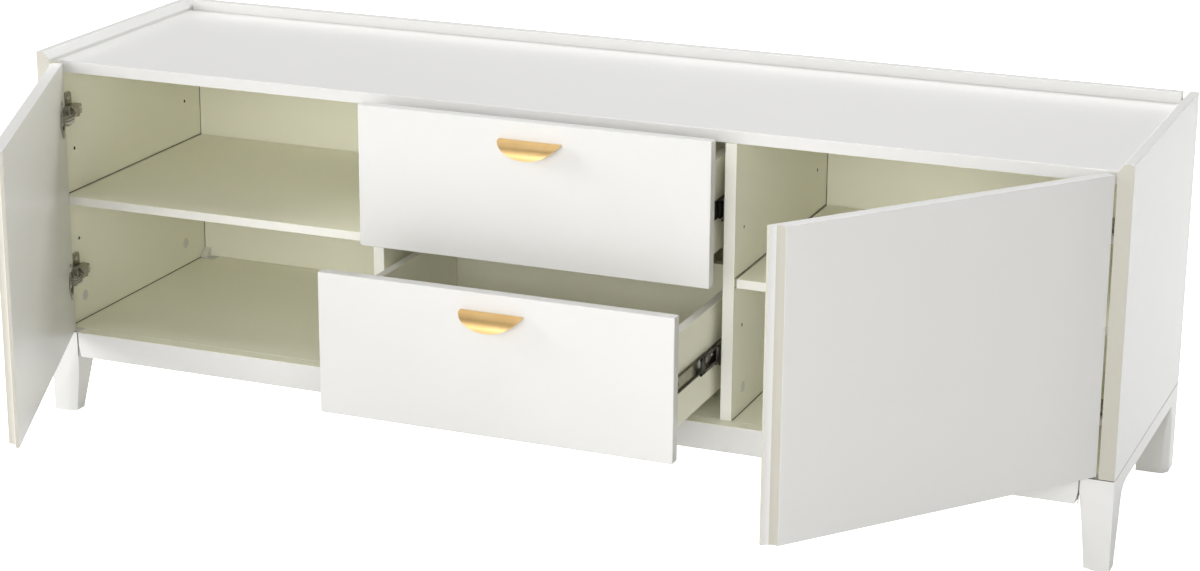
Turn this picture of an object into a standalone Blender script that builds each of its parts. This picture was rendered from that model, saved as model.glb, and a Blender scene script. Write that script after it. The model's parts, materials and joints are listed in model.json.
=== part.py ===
"""TV stand with two doors, two drawers and two shelves, on a raised frame with four legs.

Metres, +Z up, -Y is the front. The stand is drawn in its own cabinet frame: x = 0 is the
middle, y = 0 is the outer face of the closed fronts, z = 0 is the floor. The doors stand
open and the drawers are pulled out, each from its own axis empty.
"""

import math

import bmesh
import bpy
from mathutils import Matrix, Vector

# ---------------------------------------------------------------- driving dimensions
WIDTH = 1.500
DEPTH = 0.400
HEIGHT = 0.515
BASE_HEIGHT = 0.119          # floor to the top of the leg frame
RIM_HEIGHT = 0.014           # side panels and back rim above the top panel
MIDDLE_OPENING = 0.4748      # between the two dividers

SIDE_THICKNESS = 0.020
TOP_THICKNESS = 0.016
BOTTOM_THICKNESS = 0.015
DIVIDER_THICKNESS = 0.015
SHELF_THICKNESS = 0.012
BACK_THICKNESS = 0.004
BACK_RIM_THICKNESS = 0.015
FRONT_THICKNESS = 0.016

RIM_CHAMFER_ACROSS = 0.008
RIM_CHAMFER_DOWN = 0.010

RAIL_THICKNESS = 0.020
RAIL_HEIGHT = 0.036
RAIL_END_SLANT = 0.004
SIDE_RAIL_HEIGHT = 0.022

LEG_WIDTH = 0.043
LEG_FOOT_WIDTH = 0.033
LEG_DEPTH = 0.046
LEG_FOOT_DEPTH = 0.024
LEG_SHOULDER_DROP = 0.040    # where the ear's curve ends on the leg
LEG_EAR_REACH = 0.074        # how far the front leg's ear runs back
LEG_FACET_ACROSS = 0.012
LEG_FACET_IN = 0.006
LEG_FACET_START = 0.016
LEG_FACET_FULL = 0.062
REAR_LEG_DEPTH = 0.040
REAR_LEG_FACET_ACROSS = 0.007
REAR_LEG_FACET_IN = 0.010

JOINT_GAP = 0.0003           # between pieces that bear on each other
FRONT_GAP = 0.0015           # closed front to carcass edge
DOOR_SIDE_GAP = 0.0025
FRONT_BOTTOM_GAP = 0.0035
FRONT_TOP_DROP = 0.0005      # fronts end this far below the top surface
DRAWER_FRONT_GAP = 0.002     # between the two drawer fronts
DRAWER_FRONT_LAP = 0.0036    # drawer front over the divider
DOOR_DIVIDER_GAP = 0.0021

PULL_ACROSS = 0.0156         # finger cove on the door's free edge
PULL_LIP = 0.005
PULL_STEPS = 8

SHELF_TOP = 0.190            # above the leg frame
SHELF_SETBACK = 0.0025
SHELF_END_GAP = 0.0024
SHELF_BACK_GAP = 0.002

PIN_HOLE = 0.005
PIN_HOLE_DEPTH = 0.009
PIN_ROWS = (0.120, 0.185, 0.250)
PIN_FRONT = 0.052
PIN_BACK_SETBACK = 0.048     # from the stand's back
PIN_CLEARANCE = 0.0003
PEG_END_GAP = 0.0015
BRACKET_WIDTH = 0.012
BRACKET_PLATE = 0.0016
BRACKET_LIP = 0.010
BRACKET_LIP_THICKNESS = 0.0018
BRACKET_RISE = 0.0105

HINGE_INSET = 0.0225         # cup centre from the door's hinge edge
HINGE_SPREAD = 0.230         # between the two hinges of a door
CUP_BORE = 0.035
CUP_BORE_DEPTH = 0.0118
CUP_WALL = 0.0025
CUP_CLEARANCE = 0.0003
FLANGE_HEIGHT = 0.052
FLANGE_WIDTH = 0.024
FLANGE_THICKNESS = 0.0012
LINK_WIDTH = 0.009
LINK_THICKNESS = 0.0022
LINK_RISE = 0.0025           # links above the flange where they leave the cup
LINK_OFFSET = 0.002          # nearer to the door's hinge edge than the cup's centre
LINK_FOOT = 0.006
LINK_CLEARANCE = 0.0003      # between the cup's links and the arm's strap
STRAP_THICKNESS = 0.002
STRAP_END_GAP = 0.003        # end of the strap above the cup's floor, door closed
PLATE_SETBACK = 0.0388       # plate centre behind the closed outer face
PLATE_HEIGHT = 0.048
PLATE_LENGTH = 0.018
PLATE_THICKNESS = 0.0025
ARM_WIDTH = 0.013
ARM_TAIL = 0.0520            # ends of the arm behind the closed outer face
ARM_KNEE = 0.041
ARM_SHOULDER = 0.0335
ARM_RISE = 0.0145            # above the side panel, at the tail, the knee and the nose
ARM_KNEE_RISE = 0.0165
ARM_NOSE_RISE = 0.024
ARM_NOSE_TURN = math.radians(125.0)
ARM_HEEL = 0.003             # nose's heel above the mounting plate's face

DRAWER_SIDE_THICKNESS = 0.012
DRAWER_BACK_THICKNESS = 0.012
DRAWER_BOTTOM_THICKNESS = 0.005
DRAWER_BOX_HEIGHT = 0.122
DRAWER_BACK_ROOM = 0.0285    # behind the closed box and its slides
DRAWER_BOX_LIFT = 0.0265     # box above the lower edge of its front
DRAWER_GROOVE_UP = 0.010
DRAWER_GROOVE_DEPTH = 0.005

SLIDE_SPACE = 0.0127
SLIDE_UP = 0.0585            # slide's middle above the box's lower edge
SLIDE_WALL = 0.0012
SLIDE_STEP = 0.0005          # running gap between members
SLIDE_HEIGHTS = {"outer": 0.030, "middle": 0.027, "inner": 0.024}

HANDLE_WIDTH = 0.086
HANDLE_REACH = 0.021
HANDLE_DROP = 0.021
HANDLE_THICKNESS = 0.0018
HANDLE_FROM_TOP = 0.024
HANDLE_END = math.radians(8.0)    # the pull stops this short of a half circle at each end

# How the stand is left: doors open, drawers pulled out.
LEFT_DOOR_OPEN = math.radians(66.1)
RIGHT_DOOR_OPEN = math.radians(51.4)
LOWER_DRAWER_OUT = 0.1635
UPPER_DRAWER_OUT = 0.0438

# ---------------------------------------------------------------- derived places
HALF_WIDTH = WIDTH / 2
INNER_X = HALF_WIDTH - SIDE_THICKNESS
TOP_SURFACE = HEIGHT - RIM_HEIGHT
TOP_UNDERSIDE = TOP_SURFACE - TOP_THICKNESS
FRAME_TOP = BASE_HEIGHT
CARCASS_FRONT = FRONT_THICKNESS + FRONT_GAP
DIVIDER_INNER = MIDDLE_OPENING / 2
DIVIDER_OUTER = DIVIDER_INNER + DIVIDER_THICKNESS
BACK_FRONT_FACE = DEPTH - BACK_THICKNESS
RIM_FRONT_FACE = DEPTH - BACK_RIM_THICKNESS
PIN_BACK = DEPTH - PIN_BACK_SETBACK

FRONT_LOW = FRAME_TOP + FRONT_BOTTOM_GAP
FRONT_HIGH = TOP_SURFACE - FRONT_TOP_DROP
DOOR_HINGE_X = INNER_X - DOOR_SIDE_GAP
DOOR_WIDTH = DOOR_HINGE_X - DIVIDER_OUTER - DOOR_DIVIDER_GAP
DOOR_HEIGHT = FRONT_HIGH - FRONT_LOW
DRAWER_FRONT_WIDTH = MIDDLE_OPENING + 2 * DRAWER_FRONT_LAP
DRAWER_FRONT_HEIGHT = (DOOR_HEIGHT - DRAWER_FRONT_GAP) / 2
DRAWER_OUTER_X = DIVIDER_INNER - SLIDE_SPACE
SLIDE_LENGTH = BACK_FRONT_FACE - CARCASS_FRONT - DRAWER_BACK_ROOM
DRAWER_BOX_LENGTH = SLIDE_LENGTH

# The hinge's links and strap are arcs about the door's axis, so that they pass each other.
CUP_RADIUS = CUP_BORE / 2 - CUP_CLEARANCE
CUP_UNDERSIDE = FRONT_THICKNESS - CUP_BORE_DEPTH + CUP_CLEARANCE
CUP_FLOOR = CUP_UNDERSIDE + CUP_WALL
FLANGE_BACK = FRONT_THICKNESS + JOINT_GAP
FLANGE_FACE = FLANGE_BACK + FLANGE_THICKNESS
LINK_TOP = FLANGE_FACE + LINK_RISE
LINK_SPAN = HINGE_INSET - LINK_OFFSET
LINK_RADIUS = math.hypot(LINK_SPAN, LINK_TOP)
STRAP_RADIUS = LINK_RADIUS + LINK_CLEARANCE

OVERCUT = 0.001              # how far a cutter runs past the face it cuts
WELD = 0.0004                # how far joined shapes run into each other
ROUND_SIDES = 12
CUP_SIDES = 24
ARC_STEPS = 10

parts = None
cutters = None


# ---------------------------------------------------------------- scene and materials
def clear_scene():
    for obj in list(bpy.data.objects):
        bpy.data.objects.remove(obj, do_unlink=True)


def make_collection(name):
    collection = bpy.data.collections.new(name)
    bpy.context.scene.collection.children.link(collection)
    return collection


def make_material(name, colour, roughness, metallic=0.0):
    material = bpy.data.materials.new(name)
    material.use_nodes = True
    shader = material.node_tree.nodes["Principled BSDF"]
    shader.inputs["Base Color"].default_value = (*colour, 1.0)
    shader.inputs["Roughness"].default_value = roughness
    shader.inputs["Metallic"].default_value = metallic
    return material


def make_materials():
    return {
        "lacquer": make_material("white_lacquer", (0.86, 0.86, 0.85), 0.25),
        "board": make_material("white_board", (0.80, 0.79, 0.74), 0.45),
        "back": make_material("white_hardboard", (0.78, 0.77, 0.72), 0.6),
        "brass": make_material("satin_brass", (0.83, 0.57, 0.26), 0.32, 1.0),
        "steel": make_material("nickel_steel", (0.42, 0.41, 0.39), 0.35, 1.0),
    }


# ---------------------------------------------------------------- shape helpers
def add_object(name, mesh, material, parent, location=(0, 0, 0)):
    obj = bpy.data.objects.new(name, mesh)
    obj.data.materials.clear()
    obj.data.materials.append(material)
    obj.parent = parent
    obj.location = location
    parts.objects.link(obj)
    return obj


def add_empty(name, parent=None, location=(0, 0, 0), turn=0.0):
    empty = bpy.data.objects.new(name, None)
    empty.empty_display_size = 0.05
    empty.parent = parent
    empty.location = location
    empty.rotation_euler = (0, 0, turn)
    parts.objects.link(empty)
    return empty


def mesh_from_bmesh(name, bm):
    bmesh.ops.recalc_face_normals(bm, faces=bm.faces)
    mesh = bpy.data.meshes.new(name)
    bm.to_mesh(mesh)
    bm.free()
    return mesh


def box_mesh(name, corner, opposite):
    """A cuboid between any two opposite corners."""
    bm = bmesh.new()
    bmesh.ops.create_cube(bm, size=1.0)
    size = [abs(a - b) for a, b in zip(corner, opposite)]
    middle = (Vector(corner) + Vector(opposite)) / 2
    bmesh.ops.scale(bm, vec=size, verts=bm.verts)
    bmesh.ops.translate(bm, vec=middle, verts=bm.verts)
    return mesh_from_bmesh(name, bm)


def add_box(name, corner, opposite, material, parent):
    """A cuboid part whose origin is its own middle."""
    middle = (Vector(corner) + Vector(opposite)) / 2
    mesh = box_mesh(name, Vector(corner) - middle, Vector(opposite) - middle)
    return add_object(name, mesh, material, parent, middle)


# Turns an outline drawn in x, y and pulled along z into the plane it belongs to.
PLANES = {
    "xy": Matrix.Identity(4),
    "xz": Matrix.Rotation(math.pi / 2, 4, "X"),
    "yz": Matrix.Rotation(math.pi / 2, 4, "Z") @ Matrix.Rotation(math.pi / 2, 4, "X"),
}


def prism_mesh(name, outline, thickness, plane="xy"):
    """A flat outline given a thickness, half of it to each side of its plane."""
    curve = bpy.data.curves.new(name, "CURVE")
    curve.dimensions = "2D"
    curve.fill_mode = "BOTH"
    curve.extrude = thickness / 2
    spline = curve.splines.new("POLY")
    spline.points.add(len(outline) - 1)
    for point, (x, y) in zip(spline.points, outline):
        point.co = (x, y, 0, 1)
    spline.use_cyclic_u = True
    guide = bpy.data.objects.new(name, curve)
    cutters.objects.link(guide)
    evaluated = guide.evaluated_get(bpy.context.evaluated_depsgraph_get())
    mesh = bpy.data.meshes.new_from_object(evaluated)
    bpy.data.objects.remove(guide, do_unlink=True)
    bm = bmesh.new()
    bm.from_mesh(mesh)
    bmesh.ops.remove_doubles(bm, verts=bm.verts, dist=1e-6)
    bmesh.ops.transform(bm, matrix=PLANES[plane], verts=bm.verts)
    bpy.data.meshes.remove(mesh)
    return mesh_from_bmesh(name, bm)


def cylinder_mesh(name, radius, length, axis, middle, sides=ROUND_SIDES):
    """A round bar along one axis, centred on a point."""
    turns = {
        "x": Matrix.Rotation(math.pi / 2, 4, "Y"),
        "y": Matrix.Rotation(math.pi / 2, 4, "X"),
        "z": Matrix.Identity(4),
    }
    bm = bmesh.new()
    bmesh.ops.create_cone(
        bm, cap_ends=True, segments=sides, radius1=radius, radius2=radius, depth=length
    )
    bmesh.ops.transform(bm, matrix=Matrix.Translation(middle) @ turns[axis], verts=bm.verts)
    return mesh_from_bmesh(name, bm)


def boolean(obj, mesh, operation):
    """Cuts a mesh out of an object, or joins it on; the mesh is in the parent's frame."""
    tool = bpy.data.objects.new(obj.name + "_" + operation.lower(), mesh)
    tool.parent = obj.parent
    tool.hide_render = True
    tool.display_type = "WIRE"
    cutters.objects.link(tool)
    modifier = obj.modifiers.new(operation.title(), "BOOLEAN")
    modifier.operation = operation
    modifier.object = tool
    return modifier


def cut(obj, mesh):
    return boolean(obj, mesh, "DIFFERENCE")


def join(obj, mesh):
    return boolean(obj, mesh, "UNION")


def mirrored(outline, hand):
    return [(hand * x, y) for x, y in outline]


# ---------------------------------------------------------------- carcass
def pin_places():
    return [(y, row) for y in (PIN_FRONT, PIN_BACK) for row in PIN_ROWS]


def cut_pin_holes(obj, face_x, into):
    """Rows of shelf-pin holes in the face at face_x, bored towards `into` (+1 or -1)."""
    for y, row in pin_places():
        middle = (face_x + into * (PIN_HOLE_DEPTH - OVERCUT) / 2, y, FRAME_TOP + row)
        cut(obj, cylinder_mesh("pin_hole", PIN_HOLE / 2, PIN_HOLE_DEPTH + OVERCUT, "x", middle))


def make_side_panel(name, hand, material, parent):
    """A side panel with its front edge flush with the fronts and a chamfered rim."""
    bottom = FRAME_TOP + JOINT_GAP
    outline = mirrored([
        (INNER_X, bottom),
        (HALF_WIDTH, bottom),
        (HALF_WIDTH, HEIGHT),
        (INNER_X + RIM_CHAMFER_ACROSS, HEIGHT),
        (INNER_X, HEIGHT - RIM_CHAMFER_DOWN),
    ], hand)
    panel = add_object(name, prism_mesh(name, outline, DEPTH, "xz"), material, parent,
                       Vector((0, DEPTH / 2, 0)))
    cut_pin_holes(panel, hand * INNER_X, hand)
    return panel


def make_divider(name, hand, material, parent):
    divider = add_box(
        name,
        (hand * DIVIDER_INNER, CARCASS_FRONT, FRAME_TOP + JOINT_GAP),
        (hand * DIVIDER_OUTER, BACK_FRONT_FACE - JOINT_GAP, TOP_UNDERSIDE - JOINT_GAP),
        material, parent,
    )
    cut_pin_holes(divider, hand * DIVIDER_OUTER, -hand)
    return divider


def make_carcass(materials, parent):
    lacquer, board, back = materials["lacquer"], materials["board"], materials["back"]
    inside = INNER_X - JOINT_GAP
    add_box("top_panel", (-inside, CARCASS_FRONT, TOP_UNDERSIDE),
            (inside, RIM_FRONT_FACE - JOINT_GAP, TOP_SURFACE), lacquer, parent)
    add_box("bottom_panel",
            (-inside, RAIL_THICKNESS + JOINT_GAP, FRAME_TOP - BOTTOM_THICKNESS),
            (inside, DEPTH - RAIL_THICKNESS - JOINT_GAP, FRAME_TOP), board, parent)
    add_box("back_panel", (-inside, BACK_FRONT_FACE, FRAME_TOP + JOINT_GAP),
            (inside, DEPTH, TOP_UNDERSIDE - JOINT_GAP), back, parent)
    add_box("back_rim", (-inside, RIM_FRONT_FACE, TOP_UNDERSIDE), (inside, DEPTH, HEIGHT),
            lacquer, parent)
    for side, hand in (("left", -1), ("right", 1)):
        make_side_panel(side + "_side_panel", hand, lacquer, parent)
        make_divider(side + "_divider", hand, board, parent)


# ---------------------------------------------------------------- leg frame
def make_end_rail(name, front, material, parent):
    """A rail across the stand between two legs, with its ends slanted below."""
    end = HALF_WIDTH - LEG_WIDTH - JOINT_GAP
    knee = FRAME_TOP - RAIL_HEIGHT / 2
    low = FRAME_TOP - RAIL_HEIGHT
    outline = [
        (-end, FRAME_TOP), (-end, knee), (-end + RAIL_END_SLANT, low),
        (end - RAIL_END_SLANT, low), (end, knee), (end, FRAME_TOP),
    ]
    mesh = prism_mesh(name, outline, RAIL_THICKNESS, "xz")
    return add_object(name, mesh, material, parent, Vector((0, front + RAIL_THICKNESS / 2, 0)))


def make_side_rail(name, hand, material, parent):
    return add_box(
        name,
        (hand * INNER_X, LEG_EAR_REACH + JOINT_GAP, FRAME_TOP - SIDE_RAIL_HEIGHT),
        (hand * HALF_WIDTH, DEPTH - REAR_LEG_DEPTH - JOINT_GAP, FRAME_TOP),
        material, parent,
    )


def shoulder_curve(start, end, steps=8):
    """A concave quarter of an ellipse, which leaves `start` upright and meets `end` level."""
    across = end[0] - start[0]
    up = end[1] - start[1]
    angles = [math.pi / 2 * step / steps for step in range(steps + 1)]
    return [(start[0] + across * (1 - math.cos(a)), start[1] + up * math.sin(a)) for a in angles]


def front_leg_outline():
    """Side view of a front leg: upright front, tapered back and an ear under the side panel."""
    shoulder = (LEG_DEPTH, FRAME_TOP - LEG_SHOULDER_DROP)
    ear = (LEG_EAR_REACH, FRAME_TOP - SIDE_RAIL_HEIGHT)
    outline = [(0, 0), (LEG_FOOT_DEPTH, 0)]
    outline += shoulder_curve(shoulder, ear)
    outline += [(LEG_EAR_REACH, FRAME_TOP), (0, FRAME_TOP)]
    return outline


def loft_mesh(name, sections):
    """A closed solid through sections that have the same number of corners."""
    bm = bmesh.new()
    rings = [[bm.verts.new(corner) for corner in section] for section in sections]
    bm.faces.new(rings[0])
    bm.faces.new(reversed(rings[-1]))
    count = len(rings[0])
    for upper, lower in zip(rings, rings[1:]):
        for i in range(count):
            j = (i + 1) % count
            bm.faces.new((upper[i], lower[i], lower[j], upper[j]))
    bmesh.ops.triangulate(bm, faces=bm.faces)
    return mesh_from_bmesh(name, bm)


def front_leg_inner(z):
    """How far from the middle a front leg's inner side is at a height."""
    taper_top = FRAME_TOP - LEG_FACET_START
    inner = HALF_WIDTH - LEG_WIDTH
    taper = (HALF_WIDTH - LEG_FOOT_WIDTH - inner) / taper_top
    return inner + taper * max(0.0, taper_top - z)


def taper_mesh(hand):
    """What is cut off a front leg's inner side."""
    beyond = HALF_WIDTH - 2 * LEG_WIDTH
    front, back = -OVERCUT, LEG_EAR_REACH + OVERCUT
    sections = []
    for z in (FRAME_TOP - LEG_FACET_START, -OVERCUT):
        x = front_leg_inner(z)
        sections.append([
            (hand * beyond, front, z), (hand * x, front, z),
            (hand * x, back, z), (hand * beyond, back, z),
        ])
    return loft_mesh("taper", sections)


def facet_mesh(hand, corner_x, corner_y, across, inward):
    """What is planed off a leg's upright corner: nothing at its start, all of it below."""
    over = 0.5                   # past the leg's sides, as a share of the facet
    start, full = FRAME_TOP - LEG_FACET_START, FRAME_TOP - LEG_FACET_FULL
    sections = []
    for z, share in ((start, 0.02), (full, 1.0), (-OVERCUT, 1.0)):
        x, y = corner_x(z), corner_y
        step_x, step_y = across * share, inward * share
        sections.append([
            (hand * (x + step_x * (1 + over)), y - step_y * over, z),
            (hand * (x - step_x * over), y + step_y * (1 + over), z),
            (hand * (x - step_x * over), y - step_y * over, z),
        ])
    return loft_mesh("facet", sections)


def seat_mesh(hand, low_y, high_y):
    """The step in a leg's top on which the bottom panel rests."""
    return box_mesh(
        "seat",
        (hand * (HALF_WIDTH - LEG_WIDTH - OVERCUT), low_y,
         FRAME_TOP - BOTTOM_THICKNESS - JOINT_GAP),
        (hand * INNER_X, high_y, FRAME_TOP + OVERCUT),
    )


def make_front_leg(name, hand, material, parent):
    """A front leg with its ear, tapered inside and behind, with a planed inner corner."""
    mesh = prism_mesh(name, front_leg_outline(), LEG_WIDTH, "yz")
    leg = add_object(name, mesh, material, parent, (hand * (HALF_WIDTH - LEG_WIDTH / 2), 0, 0))
    cut(leg, seat_mesh(hand, RAIL_THICKNESS, LEG_EAR_REACH + OVERCUT))
    cut(leg, taper_mesh(hand))
    cut(leg, facet_mesh(hand, front_leg_inner, 0.0, LEG_FACET_ACROSS, LEG_FACET_IN))
    behind_post = box_mesh(
        "behind_post",
        (hand * (HALF_WIDTH - LEG_WIDTH - OVERCUT), LEG_DEPTH,
         FRAME_TOP - LEG_SHOULDER_DROP - OVERCUT),
        (hand * INNER_X, LEG_EAR_REACH + OVERCUT, FRAME_TOP + OVERCUT),
    )
    cut(leg, behind_post)
    return leg


def make_rear_leg(name, hand, material, parent):
    """A rear leg: an upright post under the side panel's back end."""
    front = DEPTH - REAR_LEG_DEPTH
    leg = add_box(name, (hand * (HALF_WIDTH - LEG_WIDTH), front, 0),
                  (hand * HALF_WIDTH, DEPTH, FRAME_TOP), material, parent)
    cut(leg, seat_mesh(hand, front - OVERCUT, DEPTH - RAIL_THICKNESS))
    cut(leg, facet_mesh(hand, lambda z: HALF_WIDTH, front, -REAR_LEG_FACET_ACROSS,
                        REAR_LEG_FACET_IN))
    return leg


def make_leg_frame(materials, parent):
    lacquer = materials["lacquer"]
    make_end_rail("front_rail", 0.0, lacquer, parent)
    make_end_rail("rear_rail", DEPTH - RAIL_THICKNESS, lacquer, parent)
    for side, hand in (("left", -1), ("right", 1)):
        make_side_rail(side + "_side_rail", hand, lacquer, parent)
        make_front_leg("front_" + side + "_leg", hand, lacquer, parent)
        make_rear_leg("rear_" + side + "_leg", hand, lacquer, parent)


# ---------------------------------------------------------------- shelves
def make_shelf(name, hand, material, parent):
    """An adjustable shelf between a side panel and a divider."""
    return add_box(
        name,
        (hand * (DIVIDER_OUTER + SHELF_END_GAP), CARCASS_FRONT + SHELF_SETBACK,
         FRAME_TOP + SHELF_TOP - SHELF_THICKNESS),
        (hand * (INNER_X - SHELF_END_GAP), BACK_FRONT_FACE - SHELF_BACK_GAP, FRAME_TOP + SHELF_TOP),
        material, parent,
    )


def make_shelf_bracket(name, face_x, toward, y, material, parent):
    """An angle bracket whose peg sits in the middle pin hole and whose lip carries the shelf."""
    lip_top = FRAME_TOP + SHELF_TOP - SHELF_THICKNESS - JOINT_GAP
    lip_low = lip_top - BRACKET_LIP_THICKNESS
    wall = face_x + toward * JOINT_GAP
    plate = wall + toward * BRACKET_PLATE
    lip_end = wall + toward * BRACKET_LIP
    outline = [
        (wall, lip_low), (lip_end, lip_low), (lip_end, lip_top), (plate, lip_top),
        (plate, lip_top + BRACKET_RISE), (wall, lip_top + BRACKET_RISE),
    ]
    mesh = prism_mesh(name, outline, BRACKET_WIDTH, "xz")
    bracket = add_object(name, mesh, material, parent, (0, y, 0))
    peg_length = PIN_HOLE_DEPTH - PEG_END_GAP
    peg_middle = (wall + toward * (WELD - peg_length) / 2, y, FRAME_TOP + PIN_ROWS[1])
    peg = cylinder_mesh("peg", PIN_HOLE / 2 - PIN_CLEARANCE, peg_length + WELD, "x", peg_middle)
    join(bracket, peg)
    return bracket


def make_shelves(materials, parent):
    for side, hand in (("left", -1), ("right", 1)):
        make_shelf(side + "_shelf", hand, materials["board"], parent)
        for place, y in (("front", PIN_FRONT), ("rear", PIN_BACK)):
            for end, face_x, toward in (
                ("outer", hand * INNER_X, -hand), ("inner", hand * DIVIDER_OUTER, hand)
            ):
                name = "_".join((side, "shelf_bracket", place, end))
                make_shelf_bracket(name, face_x, toward, y, materials["steel"], parent)


# ---------------------------------------------------------------- doors and hinges
def hinge_heights():
    """Heights of a door's two hinges above the door's lower edge."""
    middle = DOOR_HEIGHT / 2
    return (("lower", middle - HINGE_SPREAD / 2), ("upper", middle + HINGE_SPREAD / 2))


def door_outline(hand):
    """Plan of a closed door from its hinge corner, with a finger cove along the free edge."""
    depth = FRONT_THICKNESS - PULL_LIP
    outline = [(0, FRONT_THICKNESS), (0, 0)]
    for step in range(PULL_STEPS + 1):
        angle = math.pi / 2 * step / PULL_STEPS
        outline.append((DOOR_WIDTH - PULL_ACROSS * math.cos(angle), depth * math.sin(angle)))
    outline.append((DOOR_WIDTH, FRONT_THICKNESS))
    return mirrored(outline, -hand)


def arc(radius, first, last):
    """Points about a door's axis, by angle from the side panel's outward direction."""
    angles = [first + (last - first) * step / ARC_STEPS for step in range(ARC_STEPS + 1)]
    return [(radius * math.cos(a), radius * math.sin(a)) for a in angles]


def band(inner, thickness, first, last):
    return arc(inner, first, last) + arc(inner + thickness, last, first)


def make_hinge_cup(name, hand, height, material, axis):
    """The cup let into the door, with its flange and the curved links that leave it."""
    x = -hand * HINGE_INSET
    flange = add_box(
        name,
        (x - FLANGE_WIDTH / 2, FLANGE_BACK, height - FLANGE_HEIGHT / 2),
        (x + FLANGE_WIDTH / 2, FLANGE_FACE, height + FLANGE_HEIGHT / 2),
        material, axis,
    )
    rim = FLANGE_FACE - WELD
    join(flange, cylinder_mesh("cup", CUP_RADIUS, rim - CUP_UNDERSIDE, "y",
                               (x, (rim + CUP_UNDERSIDE) / 2, height), CUP_SIDES))
    hollow_end = FLANGE_FACE + OVERCUT
    cut(flange, cylinder_mesh("hollow", CUP_RADIUS - CUP_WALL, hollow_end - CUP_FLOOR, "y",
                              (x, (CUP_FLOOR + hollow_end) / 2, height), CUP_SIDES))
    join(flange, box_mesh(
        "link_foot",
        (-hand * LINK_SPAN, CUP_FLOOR - WELD, height - LINK_WIDTH / 2),
        (-hand * (LINK_SPAN - LINK_FOOT), LINK_TOP, height + LINK_WIDTH / 2),
    ))
    inner = LINK_RADIUS - LINK_THICKNESS
    nearest_wall = math.acos((DOOR_SIDE_GAP - JOINT_GAP) / LINK_RADIUS)
    at_foot = math.pi - math.asin(FLANGE_FACE / inner)
    links = prism_mesh("links", mirrored(band(inner, LINK_THICKNESS, nearest_wall, at_foot), hand),
                       LINK_WIDTH, "xy")
    links.transform(Matrix.Translation((0, 0, height)))
    join(flange, links)
    return flange


def make_hinge_arm(name, hand, height, material, parent):
    """The cranked hinge arm on its mounting plate, with a strap that reaches into the cup."""
    wall = DOOR_SIDE_GAP - JOINT_GAP
    plate_front = PLATE_SETBACK - PLATE_LENGTH / 2
    root = math.acos((wall - PLATE_THICKNESS - ARM_HEEL) / STRAP_RADIUS)
    outline = [
        (wall - WELD, ARM_TAIL),
        (wall - ARM_RISE, ARM_TAIL),
        (wall - ARM_KNEE_RISE, ARM_KNEE),
        (wall - ARM_NOSE_RISE, ARM_SHOULDER),
    ]
    outline += arc(STRAP_RADIUS, ARM_NOSE_TURN, root)
    outline += [
        (wall - PLATE_THICKNESS - ARM_HEEL, ARM_SHOULDER),
        (wall - WELD, plate_front + WELD),
    ]
    mesh = prism_mesh(name, mirrored(outline, hand), ARM_WIDTH, "xy")
    arm = add_object(name, mesh, material, parent, (hand * DOOR_HINGE_X, 0, height))
    join(arm, box_mesh(
        "plate",
        (hand * (DOOR_HINGE_X + wall), plate_front, height - PLATE_HEIGHT / 2),
        (hand * (DOOR_HINGE_X + wall - PLATE_THICKNESS), plate_front + PLATE_LENGTH,
         height + PLATE_HEIGHT / 2),
    ))
    in_cup = math.pi - math.asin((CUP_FLOOR + STRAP_END_GAP) / STRAP_RADIUS)
    strap = prism_mesh("strap", mirrored(band(STRAP_RADIUS, STRAP_THICKNESS, root, in_cup), hand),
                       LINK_WIDTH, "xy")
    strap.transform(Matrix.Translation((hand * DOOR_HINGE_X, 0, height)))
    join(arm, strap)
    return arm


def make_door(side, hand, opened, materials, parent):
    corner = (hand * DOOR_HINGE_X, 0, FRONT_LOW)
    axis = add_empty(side + "_door_axis", parent, corner, hand * opened)
    name = side + "_door"
    mesh = prism_mesh(name, door_outline(hand), DOOR_HEIGHT, "xy")
    door = add_object(name, mesh, materials["lacquer"], axis, (0, 0, DOOR_HEIGHT / 2))
    for place, height in hinge_heights():
        middle_y = FRONT_THICKNESS - (CUP_BORE_DEPTH - OVERCUT) / 2
        cut(door, cylinder_mesh("cup_bore", CUP_BORE / 2, CUP_BORE_DEPTH + OVERCUT, "y",
                                (-hand * HINGE_INSET, middle_y, height), CUP_SIDES))
        steel = materials["steel"]
        make_hinge_cup("_".join((side, place, "hinge_cup")), hand, height, steel, axis)
        make_hinge_arm("_".join((side, place, "hinge_arm")), hand, FRONT_LOW + height, steel, parent)


# ---------------------------------------------------------------- drawers and slides
def make_drawer_side(name, hand, low, material, parent):
    """A drawer side with the groove that holds the bottom."""
    outer = DRAWER_OUTER_X
    inner = outer - DRAWER_SIDE_THICKNESS
    groove_low = low + DRAWER_GROOVE_UP
    groove_high = groove_low + DRAWER_BOTTOM_THICKNESS + 2 * JOINT_GAP
    outline = mirrored([
        (outer, low), (outer, low + DRAWER_BOX_HEIGHT), (inner, low + DRAWER_BOX_HEIGHT),
        (inner, groove_high), (inner + DRAWER_GROOVE_DEPTH, groove_high),
        (inner + DRAWER_GROOVE_DEPTH, groove_low), (inner, groove_low), (inner, low),
    ], hand)
    middle_y = FRONT_THICKNESS + JOINT_GAP + DRAWER_BOX_LENGTH / 2
    mesh = prism_mesh(name, outline, DRAWER_BOX_LENGTH, "xz")
    return add_object(name, mesh, material, parent, (0, middle_y, 0))


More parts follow.
